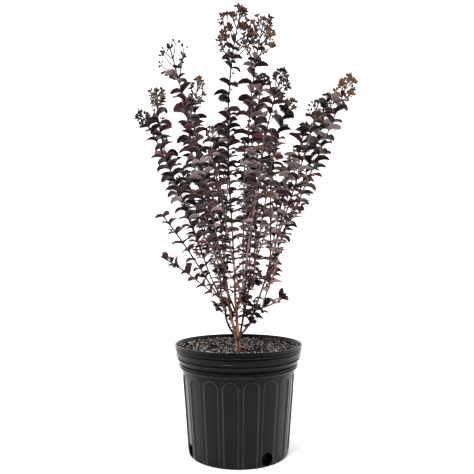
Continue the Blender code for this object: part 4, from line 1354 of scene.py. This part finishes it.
class MYRTLE_OT_leaves(bpy.types.Operator):
    """Make the leaves, one piece for each tint"""

    bl_idname = "myrtle.leaves"
    bl_label = "Leaves"

    def execute(self, context):
        sizes = context.scene.myrtle_foliage
        rows = np.array(grow(sizes).leaves)
        for index, (name, *codes, _, _) in enumerate(LEAF_TINTS):
            some = rows[rows[:, TINT_COLUMN] == index]
            grid = self.blades(some, sizes)
            faces = tube_faces(len(some), grid.shape[1], 8)
            # The upper face's outer strips take the margin, darkened as painted shade, and the
            # under face's outer strips take the rim, lightened as a painted highlight
            picks = np.concatenate((np.tile((1, 0, 0, 1, 3, 2, 2, 3), len(faces[0]) // 8),
                                    np.zeros(len(faces[1]), int)))
            finishes = [leaf_skin(part + name, code, roughness, shine)
                        for (part, roughness, shine), code in zip(LEAF_PARTS, codes)]
            leaves = new_piece("leaves_" + name, grid.reshape(-1, 3), faces, finishes, picks, 48)
            settle(leaves, "foliage", *MASS_NAMES)
        return {"FINISHED"}

    def blades(self, rows, sizes):
        """Folded, arching blades as rings of eight points, five above and three below.

        A row is place, direction, length, rise, droop, twist, breadth, fold, tint and roll.
        The midrib is an arc of a circle from the foot's slope to the tip's. Each half slants up
        from it by the fold and its edge lies at the half width u^0.55 (1 - u)^0.75. Past its
        stalk the blade rolls about the midrib, and it turns on towards the tip.
        """
        root, out = rows[:, 0:3], rows[:, 3:6]
        length, rise, drop, twist, broad, fold = rows[:, 6:TINT_COLUMN].T
        roll = rows[:, TINT_COLUMN + 1]
        u = np.array((0.0, 0.07, 0.2, 0.4, 0.63, 0.85, 1.0))
        v = np.array((-1, -0.74, 0, 0.74, 1, 0.8, 0, -0.8))
        face = np.array((0, 1, 1, 1, 0, -1, -1, -1))
        up = UP - out * out[:, 2:3]
        up /= np.linalg.norm(up, axis=1, keepdims=True)
        across = np.cross(out, up)
        bend = (drop - rise)[:, None]
        slope = rise[:, None] + bend * u
        run = length[:, None] * (np.sin(slope) - np.sin(rise)[:, None]) / bend
        lift = length[:, None] * (np.cos(rise)[:, None] - np.cos(slope)) / bend
        ribs = (root[:, None] + out[:, None] * run[..., None] + up[:, None] * lift[..., None])
        outline = u ** 0.55 * (1 - u) ** 0.75 / OUTLINE_PEAK
        stalk = 0.45 * MM * (1 - u) + 0.12 * MM
        half = (outline * (0.5 * sizes.leaf_width / sizes.leaf_length * length * broad)[:, None]
                + stalk)
        slant = sizes.leaf_fold * fold[:, None, None] * (1 - 0.35 * u[None, :, None])
        wide = half[..., None] * v * np.cos(slant)
        tall = half[..., None] * np.abs(v) * np.sin(slant) * (1.25 - 0.25 * np.abs(v))
        thick = (0.17 + 0.35 * np.exp(-u / 0.08)) * MM
        tall = tall + face * thick[None, :, None] * (1 - 0.6 * np.abs(v))
        spin = (twist[:, None] * u + roll[:, None] * soft_step(u / 0.4))[..., None]
        wide, tall = (wide * np.cos(spin) - tall * np.sin(spin),
                      wide * np.sin(spin) + tall * np.cos(spin))
        normal = (-out[:, None] * np.sin(slope)[..., None] + up[:, None] * np.cos(slope)[..., None])
        return (ribs[:, :, None] + across[:, None, None] * wide[..., None]
                + normal[:, :, None] * tall[..., None])


class MYRTLE_OT_buds(bpy.types.Operator):
    """Make the flower buds, one piece for each tint"""

    bl_idname = "myrtle.buds"
    bl_label = "Flower buds"

    def execute(self, context):
        rows = grow(context.scene.myrtle_foliage).buds
        for name, code in BUD_TINTS.items():
            some = np.array([row[:7] for row in rows if row[7] == name])
            place, heading, size = some[:, 0:3], some[:, 3:6], some[:, 6:7]
            along = np.array((-0.1, 0.12, 0.45, 0.8, 1.05))
            girth = np.array((0.14, 0.38, 0.5, 0.38, 0.1))
            paths = place[:, None] + heading[:, None] * (along * size)[..., None] * 1.15
            buds = tube_piece("flower_buds_" + name, tubes(paths, girth * size, 6),
                              bud_skin(name, code), 80)
            settle(buds, "foliage")
        return {"FINISHED"}


class MYRTLE_OT_stage(bpy.types.Operator):
    """Lay the floor, set the lights and place the camera"""

    bl_idname = "myrtle.stage"
    bl_label = "Stage"

    def execute(self, context):
        sizes = context.scene.myrtle_stage
        self.lay_floor(sizes)
        self.set_lights(context, sizes)
        self.place_camera(context)
        return {"FINISHED"}

    def lay_floor(self, sizes):
        """A thin round sheet of paper: a turned profile of its two faces and its edge."""
        r = sizes.floor_radius
        profile = [(0, -2 * MM), (r, -2 * MM), (r, 0), (r / 2, 0), (0, 0)]
        points, faces = close_poles(lathe(profile, 96))
        new_piece("floor", points, faces, [white_paper("#fbfbfb")], sharp=30)

    def set_lights(self, context, sizes):
        """A broad soft sun from the upper left, and a white surround that is dimmer in front."""
        data = bpy.data.lights.new("soft_sun", "SUN")
        data.energy = sizes.sun
        data.angle = SUN_WIDTH
        lamp = bpy.data.objects.new("soft_sun", data)
        context.scene.collection.objects.link(lamp)
        lamp.rotation_euler = SUN_TURN
        world = bpy.data.worlds.new("white_studio")
        world.use_nodes = True
        tree = world.node_tree
        place = add_node(tree, "ShaderNodeTexCoord").outputs["Generated"]
        split = add_node(tree, "ShaderNodeSeparateXYZ", links={"Vector": place})
        aside = add_node(tree, "ShaderNodeMath", links={0: split.outputs["X"]},
                         operation="ABSOLUTE")
        lean = split.outputs["Y"]
        for weight, part in ((SIDE_WEIGHT, aside.outputs["Value"]),
                             (TOP_WEIGHT, split.outputs["Z"])):
            lean = add_node(tree, "ShaderNodeMath", {1: weight}, {0: part, 2: lean},
                            operation="MULTIPLY_ADD").outputs["Value"]
        glow = add_node(tree, "ShaderNodeMapRange",
                        {"From Min": GLOW_FROM, "From Max": GLOW_TO, "To Min": sizes.front_light,
                         "To Max": sizes.back_light}, {"Value": lean})
        seen = add_node(tree, "ShaderNodeLightPath").outputs["Is Camera Ray"]
        strength = add_node(tree, "ShaderNodeMath", links={0: glow.outputs["Result"], 1: seen},
                            operation="MAXIMUM")
        surround = tree.nodes["Background"]
        surround.inputs["Color"].default_value = (*sizes.sky, 1.0)
        tree.links.new(strength.outputs["Value"], surround.inputs["Strength"])
        context.scene.world = world
        context.scene.view_settings.view_transform = "Standard"

    def place_camera(self, context):
        """A level camera at the photo's place, shifted so that the level row and middle agree."""
        data = bpy.data.cameras.new("photo_camera")
        data.sensor_width = SENSOR
        data.lens = SENSOR * FOCAL_PIXELS / PICTURE
        data.shift_x = (PICTURE / 2 - MIDDLE_COLUMN) / PICTURE
        data.shift_y = (LEVEL_ROW - PICTURE / 2) / PICTURE
        data.clip_start = 0.05
        data.clip_end = 50
        camera = bpy.data.objects.new("photo_camera", data)
        context.scene.collection.objects.link(camera)
        camera.location = CAMERA_PLACE
        camera.rotation_euler = (math.pi / 2, 0, 0)
        context.scene.camera = camera


class MYRTLE_PT_panel(bpy.types.Panel):
    """Lists the sizes and the steps of the build"""

    bl_label = "Crape Myrtle"
    bl_idname = "MYRTLE_PT_panel"
    bl_space_type = "VIEW_3D"
    bl_region_type = "UI"
    bl_category = "Crape Myrtle"

    def draw(self, context):
        for settings in SETTINGS:
            group = getattr(context.scene, settings)
            for name in group.__annotations__:
                self.layout.prop(group, name)
        for operator in OPERATORS:
            self.layout.operator(operator.bl_idname)


SETTINGS = {
    "myrtle_pot": MyrtlePotSettings,
    "myrtle_wood": MyrtleWoodSettings,
    "myrtle_foliage": MyrtleFoliageSettings,
    "myrtle_stage": MyrtleStageSettings,
}
OPERATORS = (MYRTLE_OT_pot, MYRTLE_OT_potting_mix, MYRTLE_OT_limbs, MYRTLE_OT_shoots,
             MYRTLE_OT_leaves, MYRTLE_OT_buds, MYRTLE_OT_stage)


def register():
    for item in (*SETTINGS.values(), *OPERATORS, MYRTLE_PT_panel):
        bpy.utils.register_class(item)
    for name, settings in SETTINGS.items():
        setattr(bpy.types.Scene, name, PointerProperty(type=settings))


def unregister():
    for name in SETTINGS:
        delattr(bpy.types.Scene, name)
    for item in (MYRTLE_PT_panel, *OPERATORS, *SETTINGS.values()):
        bpy.utils.unregister_class(item)


def main():
    register()
    bpy.ops.myrtle.pot()
    bpy.ops.myrtle.potting_mix()
    bpy.ops.myrtle.limbs()
    bpy.ops.myrtle.shoots()
    bpy.ops.myrtle.leaves()
    bpy.ops.myrtle.buds()
    bpy.ops.myrtle.stage()


if __name__ == "__main__":
    main()
